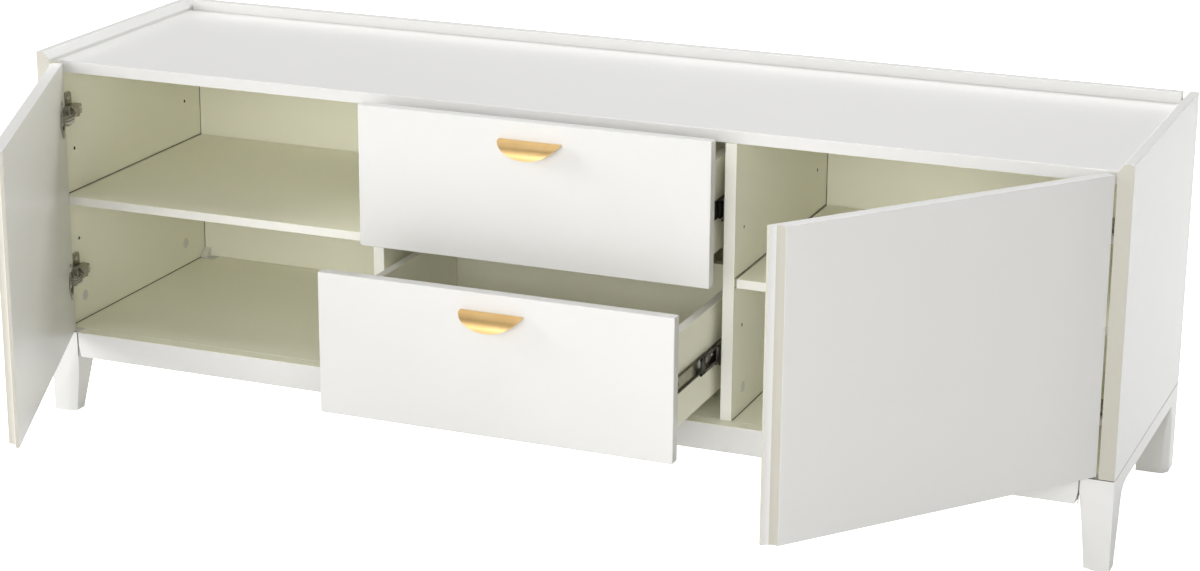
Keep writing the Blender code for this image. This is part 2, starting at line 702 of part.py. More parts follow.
def slide_outline(hand, member, middle):
    """Section of one slide member, a channel; `near` is its face toward the divider."""
    depth = (SLIDE_SPACE - 2 * JOINT_GAP - 2 * SLIDE_STEP) / 3
    place = ("outer", "middle", "inner").index(member)
    near = DIVIDER_INNER - JOINT_GAP - place * (depth + SLIDE_STEP)
    far = near - depth
    half = SLIDE_HEIGHTS[member] / 2
    web, lips = (far, near) if member == "inner" else (near, far)
    inside = web + math.copysign(SLIDE_WALL, lips - web)
    return mirrored([
        (web, middle - half), (lips, middle - half), (lips, middle - half + SLIDE_WALL),
        (inside, middle - half + SLIDE_WALL), (inside, middle + half - SLIDE_WALL),
        (lips, middle + half - SLIDE_WALL), (lips, middle + half), (web, middle + half),
    ], hand)


def make_slide_member(name, hand, member, middle, material, parent):
    mesh = prism_mesh(name, slide_outline(hand, member, middle), SLIDE_LENGTH, "xz")
    middle_y = CARCASS_FRONT + JOINT_GAP + SLIDE_LENGTH / 2
    return add_object(name, mesh, material, parent, (0, middle_y, 0))


def make_handle(name, height, material, parent):
    """A half-moon plate, bent over so that it leaves the front level and turns down."""
    across, down = 20, 6         # faces along the pull and down it
    bm = bmesh.new()
    rows = []
    for i in range(across + 1):
        turn = HANDLE_END + (math.pi - 2 * HANDLE_END) * i / across
        row = []
        for j in range(down + 1):
            bend = math.pi / 2 * math.sin(turn) * j / down
            reach = HANDLE_REACH * math.sin(bend)
            drop = HANDLE_DROP * (1 - math.cos(bend))
            along = -HANDLE_WIDTH / 2 * math.cos(turn)
            row.append(bm.verts.new((along, -reach - JOINT_GAP, -drop)))
        rows.append(row)
    for left, right in zip(rows, rows[1:]):
        for j in range(down):
            bm.faces.new((left[j], left[j + 1], right[j + 1], right[j]))
    mesh = bpy.data.meshes.new(name)
    bm.to_mesh(mesh)
    bm.free()
    mesh.shade_smooth()
    handle = add_object(name, mesh, material, parent, (0, 0, height))
    shell = handle.modifiers.new("Shell", "SOLIDIFY")
    shell.thickness = HANDLE_THICKNESS
    shell.offset = -1.0
    return handle


def make_drawer(which, level, out, materials, parent):
    """One drawer with its box, its pull and its pair of three-part slides."""
    frame = add_empty(which + "_drawer_frame", parent, (0, -out, 0))
    halfway = add_empty(which + "_slide_frame", parent, (0, -out / 2, 0))
    lacquer, board, steel = materials["lacquer"], materials["board"], materials["steel"]
    low = FRONT_LOW + level * (DRAWER_FRONT_HEIGHT + DRAWER_FRONT_GAP)
    high = low + DRAWER_FRONT_HEIGHT
    half = DRAWER_FRONT_WIDTH / 2
    add_box(which + "_drawer_front", (-half, 0, low), (half, FRONT_THICKNESS, high), lacquer,
            frame)
    make_handle(which + "_drawer_handle", high - HANDLE_FROM_TOP, materials["brass"], frame)

    box_low = low + DRAWER_BOX_LIFT
    box_front = FRONT_THICKNESS + JOINT_GAP
    box_back = box_front + DRAWER_BOX_LENGTH
    inner = DRAWER_OUTER_X - DRAWER_SIDE_THICKNESS
    floor_low = box_low + DRAWER_GROOVE_UP + JOINT_GAP
    floor_high = floor_low + DRAWER_BOTTOM_THICKNESS
    floor_half = inner + DRAWER_GROOVE_DEPTH - JOINT_GAP
    add_box(which + "_drawer_bottom", (-floor_half, box_front, floor_low),
            (floor_half, box_back, floor_high), board, frame)
    back_half = inner - JOINT_GAP
    back_low = floor_high + JOINT_GAP
    add_box(which + "_drawer_back", (-back_half, box_back - DRAWER_BACK_THICKNESS, back_low),
            (back_half, box_back, box_low + DRAWER_BOX_HEIGHT), board, frame)

    middle = box_low + SLIDE_UP
    for side, hand in (("left", -1), ("right", 1)):
        make_drawer_side("_".join((which, "drawer", side, "side")), hand, box_low, board, frame)
        for member, carrier in (("outer", parent), ("middle", halfway), ("inner", frame)):
            name = "_".join((which, side, "slide", member))
            make_slide_member(name, hand, member, middle, steel, carrier)


# ---------------------------------------------------------------- the stand
def centre_on_origin(frame):
    """Moves the cabinet frame so that the whole stand's box is centred over the origin."""
    bpy.context.view_layer.update()
    meshes = [obj for obj in parts.objects if obj.type == "MESH"]
    points = [obj.matrix_world @ vertex.co for obj in meshes for vertex in obj.data.vertices]
    for axis in (0, 1):
        values = [point[axis] for point in points]
        frame.location[axis] -= (min(values) + max(values)) / 2
    bpy.context.view_layer.update()


def main():
    global parts, cutters
    clear_scene()
    parts = make_collection("tv_stand")
    cutters = make_collection("tv_stand_cutters")
    materials = make_materials()
    frame = add_empty("cabinet_frame")
    make_carcass(materials, frame)
    make_leg_frame(materials, frame)
    make_shelves(materials, frame)
    make_door("left", -1, LEFT_DOOR_OPEN, materials, frame)
    make_door("right", 1, RIGHT_DOOR_OPEN, materials, frame)
    make_drawer("lower", 0, LOWER_DRAWER_OUT, materials, frame)
    make_drawer("upper", 1, UPPER_DRAWER_OUT, materials, frame)
    centre_on_origin(frame)


main()
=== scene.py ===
import json
import math

import bmesh
import bpy
from mathutils import Matrix, Vector

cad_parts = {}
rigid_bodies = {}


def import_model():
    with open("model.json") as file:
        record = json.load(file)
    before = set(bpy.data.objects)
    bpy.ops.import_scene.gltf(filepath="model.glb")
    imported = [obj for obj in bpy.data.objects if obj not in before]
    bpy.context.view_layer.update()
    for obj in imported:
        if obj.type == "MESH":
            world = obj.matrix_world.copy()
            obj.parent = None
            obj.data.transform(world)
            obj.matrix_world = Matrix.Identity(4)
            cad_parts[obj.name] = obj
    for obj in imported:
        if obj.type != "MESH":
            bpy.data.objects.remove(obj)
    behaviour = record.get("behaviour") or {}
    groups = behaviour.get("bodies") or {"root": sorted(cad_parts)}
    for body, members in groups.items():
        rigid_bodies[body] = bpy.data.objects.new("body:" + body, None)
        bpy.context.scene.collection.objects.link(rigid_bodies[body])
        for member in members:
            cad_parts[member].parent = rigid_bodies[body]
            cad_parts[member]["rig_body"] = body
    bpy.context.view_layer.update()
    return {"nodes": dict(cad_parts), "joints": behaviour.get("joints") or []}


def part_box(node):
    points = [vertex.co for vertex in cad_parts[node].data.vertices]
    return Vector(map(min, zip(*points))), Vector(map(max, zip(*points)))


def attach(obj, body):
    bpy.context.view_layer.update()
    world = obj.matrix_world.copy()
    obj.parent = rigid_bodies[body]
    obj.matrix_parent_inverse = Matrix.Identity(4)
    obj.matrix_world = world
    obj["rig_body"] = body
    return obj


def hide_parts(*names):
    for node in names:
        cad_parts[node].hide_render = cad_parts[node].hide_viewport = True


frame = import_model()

nodes = frame["nodes"]
joints = {joint["name"]: joint for joint in frame["joints"]}
sides = {"left": -1, "right": 1}       # each side with its sign along x
drawers = ("lower", "upper")
print("frame loaded:", len(nodes), "nodes")


# Feeds a node's input with a number, a colour or another socket.
def feed(tree, socket, value):
    if isinstance(value, bpy.types.NodeSocket):
        tree.links.new(value, socket)
    else:
        socket.default_value = value


def feedByName(tree, node, **feeds):
    for key, value in feeds.items():
        feed(tree, node.inputs[key.replace("_", " ")], value)


def addNode(tree, kind, settings=None, **feeds):
    node = tree.nodes.new(kind)
    for key, value in (settings or {}).items():
        setattr(node, key, value)
    feedByName(tree, node, **feeds)
    return node


def addMath(tree, operation, first, second, kind="ShaderNodeMath"):
    node = addNode(tree, kind, {"operation": operation})
    feed(tree, node.inputs[0], first)
    feed(tree, node.inputs[1], second)
    return node.outputs[0]


def addMix(tree, share, first, second):
    return addNode(tree, "ShaderNodeMix", {"data_type": "RGBA"}, Factor=share, A=first,
                   B=second).outputs["Result"]


def addRange(tree, value, low, high, toLow=0.0, toHigh=1.0):
    return addNode(tree, "ShaderNodeMapRange", Value=value, From_Min=low, From_Max=high,
                   To_Min=toLow, To_Max=toHigh).outputs["Result"]


def addNoise(tree, place, scale, detail, roughness):
    return addNode(tree, "ShaderNodeTexNoise", Vector=place, Scale=scale, Detail=detail,
                   Roughness=roughness).outputs["Fac"]


# A new node group with its named sockets; every material gives it all of its values.
def startGroup(name, takes, gives):
    group = bpy.data.node_groups.new(name, "ShaderNodeTree")
    for way, sockets in (("INPUT", takes), ("OUTPUT", gives)):
        for label, kind in sockets.items():
            group.interface.new_socket(label, in_out=way, socket_type="NodeSocket" + kind)
    return group, group.nodes.new("NodeGroupInput"), group.nodes.new("NodeGroupOutput")


# Slow drift between two close tints, as sprayed paint and printed board have over a hand's width.
def makeTintDrift():
    group, takes, gives = startGroup(
        "tintDrift",
        {"Place": "Vector", "Size": "Float", "Light Tint": "Color", "Deep Tint": "Color"},
        {"Color": "Color"},
    )
    place, size, lightTint, deepTint = takes.outputs[:4]
    broad = addNoise(group, place, addMath(group, "DIVIDE", 1.0, size), 3.0, 0.55)
    share = addRange(group, broad, 0.3, 0.7)
    feedByName(group, gives, Color=addMix(group, share, lightTint, deepTint))
    return group


# Fine skin of a finish: relief, and roughness that varies with it.
def makeFineSurface():
    group, takes, gives = startGroup(
        "fineSurface",
        {"Place": "Vector", "Cell": "Float", "Stretch": "Vector", "Rough Low": "Float",
         "Rough High": "Float"},
        {"Height": "Float", "Roughness": "Float"},
    )
    place, cell, stretch, roughLow, roughHigh = takes.outputs[:5]
    stretched = addMath(group, "MULTIPLY", place, stretch, "ShaderNodeVectorMath")
    scale = addMath(group, "DIVIDE", 1.0, cell)
    small = addNoise(group, stretched, scale, 2.0, 0.5)
    wide = addNoise(group, stretched, addMath(group, "MULTIPLY", scale, 0.13), 3.0, 0.6)
    both = addMath(group, "ADD", addMath(group, "MULTIPLY", small, 0.6),
                   addMath(group, "MULTIPLY", wide, 0.4))
    rough = addRange(group, both, 0.35, 0.65, roughLow, roughHigh)
    feedByName(group, gives, Height=both, Roughness=rough)
    return group


# Wear on rounded edges: where the rounding is and a broken noise says so, the worn tint shows.
def makeEdgeWear():
    group, takes, gives = startGroup(
        "edgeWear",
        {"Place": "Vector", "Edge": "Float", "Patch": "Float", "Amount": "Float", "Color": "Color",
         "Worn Tint": "Color"},
        {"Color": "Color"},
    )
    place, edge, patch, amount, tint, wornTint = takes.outputs[:6]
    broken = addNoise(group, place, addMath(group, "DIVIDE", 1.0, patch), 4.0, 0.65)
    patches = addRange(group, broken, 0.46, 0.62)
    worn = addMath(group, "MULTIPLY", addMath(group, "MULTIPLY", patches, edge), amount)
    feedByName(group, gives, Color=addMix(group, worn, tint, wornTint))
    return group


# What a finish takes unless it says otherwise; lengths are in metres.
plainFinish = {
    "patch": 0.003,            # size of a worn patch on rounded edges, and how far the wear shows
    "wear": 0.5,
    "cell": 0.0004,            # size of the relief, the way it is stretched and its depth
    "stretch": (1, 1, 1),
    "relief": 0.00001,
    "metallic": 0.0,
    "coat": 0.0,
    "coatRough": 0.1,
}

# light and deep: the two tints; drift: over what length one turns into the other; worn: the tint
# of wear; rough: the lowest and highest roughness.
finishes = {
    "lacquer": {
        "light": (0.718, 0.715, 0.702), "deep": (0.705, 0.702, 0.688), "drift": 0.35,
        "worn": (0.700, 0.690, 0.660), "rough": (0.286, 0.300), "patch": 0.012, "wear": 0.25,
        "cell": 0.0016, "relief": 0.000002, "coat": 0.1, "coatRough": 0.2,
    },
    # painted light and shade: the inside boards' finish, tinted cream and kept brighter than the lacquer so
    # the dim inside of the cupboards reads warm and lit; it also goes on inner faces of lacquered boards
    "liningShadeTint": {
        "light": (0.945, 0.935, 0.790), "deep": (0.930, 0.920, 0.765), "drift": 0.25,
        "worn": (0.740, 0.720, 0.600), "rough": (0.42, 0.54), "patch": 0.02, "wear": 0.4,
        "cell": 0.0011, "relief": 0.00002,
    },
    # painted shade: a darker cream for the side panels' front edges and the doors' side edges, where the
    # open doors cast shade
    "paintedShadeEdge": {
        "light": (0.520, 0.500, 0.440), "deep": (0.500, 0.480, 0.420), "drift": 0.35,
        "worn": (0.580, 0.560, 0.500), "rough": (0.38, 0.50), "patch": 0.012, "wear": 0.15,
        "cell": 0.0012, "stretch": (1, 1, 0.15),
    },
    # painted shade: near-black for the hairlines that stand for the shadow in the gaps between boards
    "paintedShadowLine": {
        "light": (0.100, 0.092, 0.070), "deep": (0.060, 0.055, 0.040), "drift": 0.05,
        "worn": (0.180, 0.170, 0.130), "rough": (0.70, 0.85), "patch": 0.01, "wear": 0.1,
        "cell": 0.0008,
    },
    "edging": {
        "light": (0.850, 0.840, 0.785), "deep": (0.825, 0.812, 0.750), "drift": 0.18,
        "worn": (0.700, 0.680, 0.580), "rough": (0.36, 0.46), "patch": 0.008, "wear": 0.35,
        "cell": 0.0009, "stretch": (1, 1, 0.15),
    },
    # painted light and shade: the back board's inside face and the drawer bottoms, in the same cream tint
    # as the inside boards
    "backBoardShadeTint": {
        "light": (0.945, 0.933, 0.790), "deep": (0.930, 0.918, 0.768), "drift": 0.3,
        "worn": (0.700, 0.660, 0.520), "rough": (0.50, 0.64), "patch": 0.02, "cell": 0.0007,
        "relief": 0.00003,
    },
    "backOutside": {
        "light": (0.640, 0.628, 0.560), "deep": (0.610, 0.597, 0.525), "drift": 0.22,
        "worn": (0.520, 0.480, 0.380), "rough": (0.50, 0.64), "patch": 0.02, "cell": 0.0009,
        "relief": 0.00004,
    },
    "brass": {
        "light": (0.900, 0.640, 0.300), "deep": (0.840, 0.565, 0.245), "drift": 0.03,
        "worn": (0.860, 0.660, 0.380), "rough": (0.38, 0.48), "patch": 0.004, "cell": 0.0006,
        "stretch": (0.06, 1, 1), "relief": 0.000012, "metallic": 1.0,
    },
    "nickel": {
        "light": (0.430, 0.415, 0.375), "deep": (0.330, 0.315, 0.280), "drift": 0.012,
        "worn": (0.620, 0.600, 0.550), "rough": (0.28, 0.42), "stretch": (1, 1, 0.4), "metallic": 1.0,
    },
    "slideSteel": {
        "light": (0.640, 0.630, 0.580), "deep": (0.540, 0.525, 0.475), "drift": 0.02,
        "worn": (0.720, 0.700, 0.650), "rough": (0.28, 0.40), "patch": 0.004, "wear": 0.4,
        "cell": 0.0005, "stretch": (1, 0.03, 1), "metallic": 1.0,
    },
    # painted reflection: near-black steel for the slides' lips, for the dark that they reflect
    "darkReflectionSteel": {
        "light": (0.170, 0.160, 0.130), "deep": (0.110, 0.102, 0.082), "drift": 0.02,
        "worn": (0.340, 0.320, 0.270), "rough": (0.30, 0.44), "stretch": (1, 0.05, 1), "metallic": 1.0,
    },
    # painted shade: near-black, far darker than raw chipboard, for the shade deep in the pin holes
    "holeShade": {
        "light": (0.060, 0.048, 0.030), "deep": (0.030, 0.024, 0.015), "drift": 0.002,
        "worn": (0.120, 0.100, 0.070), "rough": (0.75, 0.90), "patch": 0.001, "wear": 0.4,
        "cell": 0.0005, "relief": 0.00004,
    },
    "blackPlastic": {
        "light": (0.022, 0.021, 0.019), "deep": (0.014, 0.013, 0.012), "drift": 0.01,
        "worn": (0.050, 0.050, 0.045), "rough": (0.38, 0.52),
    },
    "palePlastic": {
        "light": (0.760, 0.755, 0.700), "deep": (0.720, 0.712, 0.650), "drift": 0.008,
        "worn": (0.620, 0.610, 0.550), "rough": (0.34, 0.46), "wear": 0.3, "relief": 0.000008,
    },
}


def withAlpha(colour):
    return (*colour, 1.0)


# One finish: drifting tint, worn edges, fine relief. Its shader stands in the material itself.
def makeFinish(name, look, groups):
    material = bpy.data.materials.new(name)
    material.use_nodes = True
    tree = material.node_tree
    shader = tree.nodes["Principled BSDF"]
    place = addNode(tree, "ShaderNodeTexCoord").outputs["Object"]
    drift = addNode(tree, "ShaderNodeGroup", {"node_tree": groups["tintDrift"]}, Place=place,
                    Size=look["drift"], Light_Tint=withAlpha(look["light"]),
                    Deep_Tint=withAlpha(look["deep"]))
    edge = addNode(tree, "ShaderNodeAttribute", {"attribute_name": "roundedEdge"})
    wear = addNode(tree, "ShaderNodeGroup", {"node_tree": groups["edgeWear"]}, Place=place,
                   Edge=edge.outputs["Fac"], Patch=look["patch"], Amount=look["wear"],
                   Color=drift.outputs["Color"], Worn_Tint=withAlpha(look["worn"]))
    roughLow, roughHigh = look["rough"]
    skin = addNode(tree, "ShaderNodeGroup", {"node_tree": groups["fineSurface"]}, Place=place,
                   Cell=look["cell"], Stretch=look["stretch"], Rough_Low=roughLow, Rough_High=roughHigh)
    bump = addNode(tree, "ShaderNodeBump", Distance=look["relief"], Height=skin.outputs["Height"])
    feedByName(tree, shader, Base_Color=wear.outputs["Color"], Roughness=skin.outputs["Roughness"],
               Normal=bump.outputs["Normal"], Metallic=look["metallic"], Coat_Weight=look["coat"],
               Coat_Roughness=look["coatRough"])
    return material


groups = {"tintDrift": makeTintDrift(), "fineSurface": makeFineSurface(), "edgeWear": makeEdgeWear()}
finish = {name: makeFinish(name, {**plainFinish, **look}, groups) for name, look in finishes.items()}
print("finishes made:", len(finish))


def arcPoints(centre, radius, first, last, steps):
    turns = [first + (last - first) * step / steps for step in range(steps + 1)]
    return [(centre[0] + radius * math.cos(turn), centre[1] + radius * math.sin(turn)) for turn in turns]


# Rounds the inner corners of an open path with short arcs.
def roundedPath(points, radius, steps=4):
    path = [Vector(points[0])]
    for before, corner, after in zip(points, points[1:], points[2:]):
        corner = Vector(corner)
        back, ahead = Vector(before) - corner, Vector(after) - corner
        reach = min(radius, back.length * 0.45, ahead.length * 0.45)
        start, end = corner + back.normalized() * reach, corner + ahead.normalized() * reach
        for step in range(steps + 1):
            share = step / steps
            path.append(start.lerp(corner, share).lerp(corner.lerp(end, share), share))
    path.append(Vector(points[-1]))
    return path


# The outline of a strip of even thickness that runs along a path, to its left side.
def stripOutline(path, thickness):
    outer = []
    for index, point in enumerate(path):
        before = path[max(index - 1, 0)]
        after = path[min(index + 1, len(path) - 1)]
        along = (Vector(after) - Vector(before)).normalized()
        outer.append(Vector(point) + Vector((-along.y, along.x)) * thickness)
    return [Vector(point) for point in path] + outer[::-1]


def roundedRectangle(halfWide, halfHigh, radius, middle=(0, 0), steps=4):
    outline = []
    for quarter, (signX, signY) in enumerate(((1, 1), (-1, 1), (-1, -1), (1, -1))):
        centre = (middle[0] + signX * (halfWide - radius), middle[1] + signY * (halfHigh - radius))
        start = quarter * math.pi / 2
        outline += arcPoints(centre, radius, start, start + math.pi / 2, steps)
    return outline


zToY = Matrix.Rotation(-math.pi / 2, 4, "X")       # lays a turned shape's z along y


# Faces between two rings of corners; a ring of one corner closes to a point.
def joinRings(bm, lower, upper):
    faces = []
    count = max(len(lower), len(upper))
    for step in range(count):
        after = (step + 1) % count
        corners = [lower[step % len(lower)], lower[after % len(lower)],
                   upper[after % len(upper)], upper[step % len(upper)]]
        faces.append(bm.faces.new(list(dict.fromkeys(corners))))
    return faces


def useSlot(faces, slot):
    for face in faces:
        face.material_index = slot


# An outline drawn in x, y and pulled from low to high along z, then put in its place.
def addPrism(bm, outline, low, high, place, slot=0):
    lower, upper = [[bm.verts.new(place @ Vector((*point[:2], z))) for point in outline]
                    for z in (low, high)]
    faces = [bm.faces.new(lower), bm.faces.new(reversed(upper))] + joinRings(bm, upper, lower)
    useSlot(faces, slot)
    return faces


def addRing(bm, place, radius, height, steps):
    circle = arcPoints((0, 0), radius, 0, 2 * math.pi, steps)[:steps]
    return [bm.verts.new(place @ Vector((*point, height))) for point in circle]


# A profile of (radius, height) turned about z; ends that lie on the axis are closed there.
def addTurned(bm, profile, place, slot=0, steps=32):
    rings = []
    for radius, height in profile:
        onAxis = radius < 1e-7
        rings.append([bm.verts.new(place @ Vector((0, 0, height)))] if onAxis
                     else addRing(bm, place, radius, height, steps))
    for lower, upper in zip(rings, rings[1:]):
        useSlot(joinRings(bm, lower, upper), slot)


# A screw head with a cross recess; z is the way it faces and 0 is the surface that it sits on.
def addScrew(bm, place, radius, height, slot=0):
    crown, recess = radius * 0.72, height * 0.75
    arm, half = radius * 0.52, radius * 0.13
    rim = [addRing(bm, place, radius + (crown - radius) * share ** 1.6, height * share, 24)
           for share in (0.0, 0.55, 1.0)]
    faces = [bm.faces.new(rim[0])]
    for lower, upper in zip(rim, rim[1:]):
        faces += joinRings(bm, lower, upper)
    cross = []
    for quarter in range(4):
        turn = Matrix.Rotation(quarter * math.pi / 2, 2)
        cross += [turn @ Vector(point) for point in ((arm, -half), (arm, half), (half, half))]
    top = [bm.verts.new(place @ Vector((*point, height))) for point in cross]
    deep = [bm.verts.new(place @ Vector((*(point * 0.8), height - recess))) for point in cross]
    faces.append(bm.faces.new(deep))
    faces += joinRings(bm, top, deep)
    loops = [(ring[index], ring[(index + 1) % len(ring)]) for ring in (rim[-1], top)
             for index in range(len(ring))]
    edges = [bm.edges.get(pair) or bm.edges.new(pair) for pair in loops]
    filled = bmesh.ops.triangle_fill(bm, edges=edges, use_beauty=True)["geom"]
    useSlot(faces + [item for item in filled if isinstance(item, bmesh.types.BMFace)], slot)


def addBall(bm, centre, radius, slot=0):
    made = bmesh.ops.create_icosphere(bm, subdivisions=2, radius=radius,
                                      matrix=Matrix.Translation(centre))["verts"]
    useSlot({face for vertex in made for face in vertex.link_faces}, slot)


# A round rod between two points, with slightly domed ends.
def addRod(bm, start, end, radius, slot=0, steps=16):
    along = Vector(end) - Vector(start)
    turn = along.to_track_quat("Z", "Y").to_matrix().to_4x4()
    dome = radius * 0.25
    profile = [(0, -dome), (radius * 0.7, -dome * 0.6), (radius, 0), (radius, along.length),
               (radius * 0.7, along.length + dome * 0.6), (0, along.length + dome)]
    addTurned(bm, profile, Matrix.Translation(start) @ turn, slot, steps)


def addObject(name, data):
    made = bpy.data.objects.new(name, data)
    bpy.context.scene.collection.objects.link(made)
    return made


# Turns a bmesh into a piece that rides on a body and stands for CAD nodes.
def makePiece(name, bm, looks, body, standsFor=(), bevel=0.0, segments=2):
    bmesh.ops.recalc_face_normals(bm, faces=bm.faces)
    mesh = bpy.data.meshes.new(name)
    bm.to_mesh(mesh)
    bm.free()
    for look in looks:
        mesh.materials.append(finish[look])
    piece = addObject(name, mesh)
    if bevel:
        rounding = piece.modifiers.new("rounding", "BEVEL")
        rounding.width = bevel
        rounding.segments = segments
        rounding.limit_method = "ANGLE"
        rounding.angle_limit = math.radians(40)
        rounding.use_clamp_overlap = True
    mesh.shade_smooth()
    mesh.set_sharp_from_angle(angle=math.radians(32))
    if not bevel:
        weighting = piece.modifiers.new("evenShading", "WEIGHTED_NORMAL")
        weighting.keep_sharp = True
        weighting.weight = 100
    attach(piece, body)
    if standsFor:
        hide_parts(*standsFor)


# The node's own shape as one clean mesh, with flat faces rejoined from their triangles.
def meshOfNode(node, weld):
    source = nodes[node].data
    bm = bmesh.new()
    corners = [bm.verts.new(vertex.co) for vertex in source.vertices]
    for polygon in source.polygons:
        bm.faces.new([corners[index] for index in polygon.vertices])
    bmesh.ops.remove_doubles(bm, verts=bm.verts, dist=weld)
    bmesh.ops.dissolve_degenerate(bm, edges=bm.edges, dist=1e-6)
    bmesh.ops.recalc_face_normals(bm, faces=bm.faces)
    bmesh.ops.dissolve_limit(bm, angle_limit=math.radians(0.6), verts=bm.verts, edges=bm.edges)
    return bm


# Rounds every long sharp edge and marks the rounding for the wear in the finish.
def roundEdges(bm, radius, segments, shortest):
    mark = bm.faces.layers.float.new("roundedEdge")
    sharp = [edge for edge in bm.edges
             if len(edge.link_faces) == 2 and edge.calc_face_angle(0.0) > math.radians(28)
             and edge.calc_length() > shortest]
    made = bmesh.ops.bevel(bm, geom=sharp, offset=radius, offset_type="OFFSET", segments=segments,
                           profile=0.5, affect="EDGES", clamp_overlap=True, loop_slide=True, material=-1)
    for face in made["faces"]:
        face[mark] = 1.0


boardValues = {
    "radius": 0.0011,          # of a painted edge
    "shortest": 0.0085,        # an edge under this length stays sharp, as in a pin hole
    "segments": 3,
    "weld": 0.00001,
}


# looks: (finish, test on a face's normal and centre); the first that holds is taken.
def makeBoard(node, slotName, looks, **changes):
    values = {**boardValues, **changes}
    bm = meshOfNode(node, values["weld"])
    for height in values.get("cutAt", ()):
        geometry = bm.verts[:] + bm.edges[:] + bm.faces[:]
        bmesh.ops.bisect_plane(bm, geom=geometry, plane_co=(0, 0, height), plane_no=(0, 0, 1))
    names = [look for look, _ in looks]
    for face in bm.faces:
        normal, centre = face.normal, face.calc_center_median()
        face.material_index = next(index for index, (_, test) in enumerate(looks) if test(normal, centre))
    roundEdges(bm, values["radius"], values["segments"], values["shortest"])
    makePiece("finished_" + node, bm, names, nodes[node]["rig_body"], (node,))


def everywhere(normal, centre):
    return True


def facesFront(normal, centre):
    return normal.y < -0.7


def facesUp(normal, centre):
    return normal.z > 0.7


def facesBack(normal, centre):
    return normal.y > 0.7


allLacquer = [("lacquer", everywhere)]
openFront = [("edging", facesFront), ("liningShadeTint", everywhere)]


# A test for the side edges of a board that may stand at any turn about z.
def sideEdges(node):
    bm = meshOfNode(node, boardValues["weld"])
    flat = max(bm.faces, key=lambda face: face.calc_area()).normal.copy()
    bm.free()
    return lambda normal, centre: abs(normal.z) < 0.5 and abs(normal.dot(flat)) < 0.93


def makeCarcass():
    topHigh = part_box("top_panel")[1]

    def isCeiling(normal, centre):
        return normal.z < -0.7

    # the top panel's underside takes the inside boards' cream, painted shade on a lacquered board
    makeBoard("top_panel", "white_lacquer", [("liningShadeTint", isCeiling), ("lacquer", everywhere)])
    makeBoard("back_rim", "white_lacquer", allLacquer)
    makeBoard("bottom_panel", "white_board", [("liningShadeTint", everywhere)], radius=0.0006)
    makeBoard("back_panel", "white_hardboard", [("backOutside", facesBack), ("backBoardShadeTint", everywhere)],
              radius=0.0004)
    for side, hand in sides.items():
        # inner faces of a lacquered side panel below the top take the inside boards' cream as painted shade
        def takesShadeTint(normal, centre, hand=hand):
            return normal.x * hand < -0.9 and centre.z < topHigh.z

        makeBoard(side + "_side_panel", "white_lacquer",
                  # the panel's front edge takes the darker cream of painted shade
                  [("liningShadeTint", takesShadeTint), ("paintedShadeEdge", facesFront), ("lacquer", everywhere)],
                  cutAt=(topHigh.z,))
        makeBoard(side + "_divider", "white_board", openFront, radius=0.0006)
        makeBoard(side + "_shelf", "white_board", openFront, radius=0.0008)


def makeLegFrame():
    for node in ("front_rail", "rear_rail", "left_side_rail", "right_side_rail"):
        # the rails' top faces take the inside boards' cream, with its painted shade
        makeBoard(node, "white_lacquer", [("liningShadeTint", facesUp), ("lacquer", everywhere)], radius=0.0010)
    for end in ("front", "rear"):
        for side in sides:
            makeBoard("_".join((end, side, "leg")), "white_lacquer", allLacquer, radius=0.0014,
                      weld=0.0004, shortest=0.003)


def makeFronts():
    for side in sides:
        door = side + "_door"
        # the doors' side edges take the darker cream of painted shade
        makeBoard(door, "white_lacquer", [("paintedShadeEdge", sideEdges(door)), ("lacquer", everywhere)],
                  radius=0.0010)
    for which in drawers:
        makeBoard(which + "_drawer_front", "white_lacquer", allLacquer, radius=0.0013)


def makeDrawerBoxes():
    for which in drawers:
        for part in ("left_side", "right_side", "back"):
            makeBoard("_".join((which, "drawer", part)), "white_board",
                      [("edging", facesUp), ("liningShadeTint", everywhere)], radius=0.0007)
        makeBoard(which + "_drawer_bottom", "white_board", [("backBoardShadeTint", everywhere)], radius=0.0003)


makeCarcass()
makeLegFrame()
makeFronts()
makeDrawerBoxes()
print("boards made")


pullValues = {
    "thickness": 0.0018,
    "rimRadius": 0.0004,
    "rimGap": 0.0002,          # between the rim and the CAD box
    "across": 56,              # faces across and down the plate
    "down": 20,
    "cut": math.radians(8),    # of the half-moon, left off at each end
    "curl": math.radians(99),  # how far the plate turns down and under
    "bossRadius": 0.0030,
    "bossLength": 0.005,
    "bossInset": 0.012,        # from the pull's ends
    "screwRadius": 0.0040,
    "screwHeight": 0.0018,
}


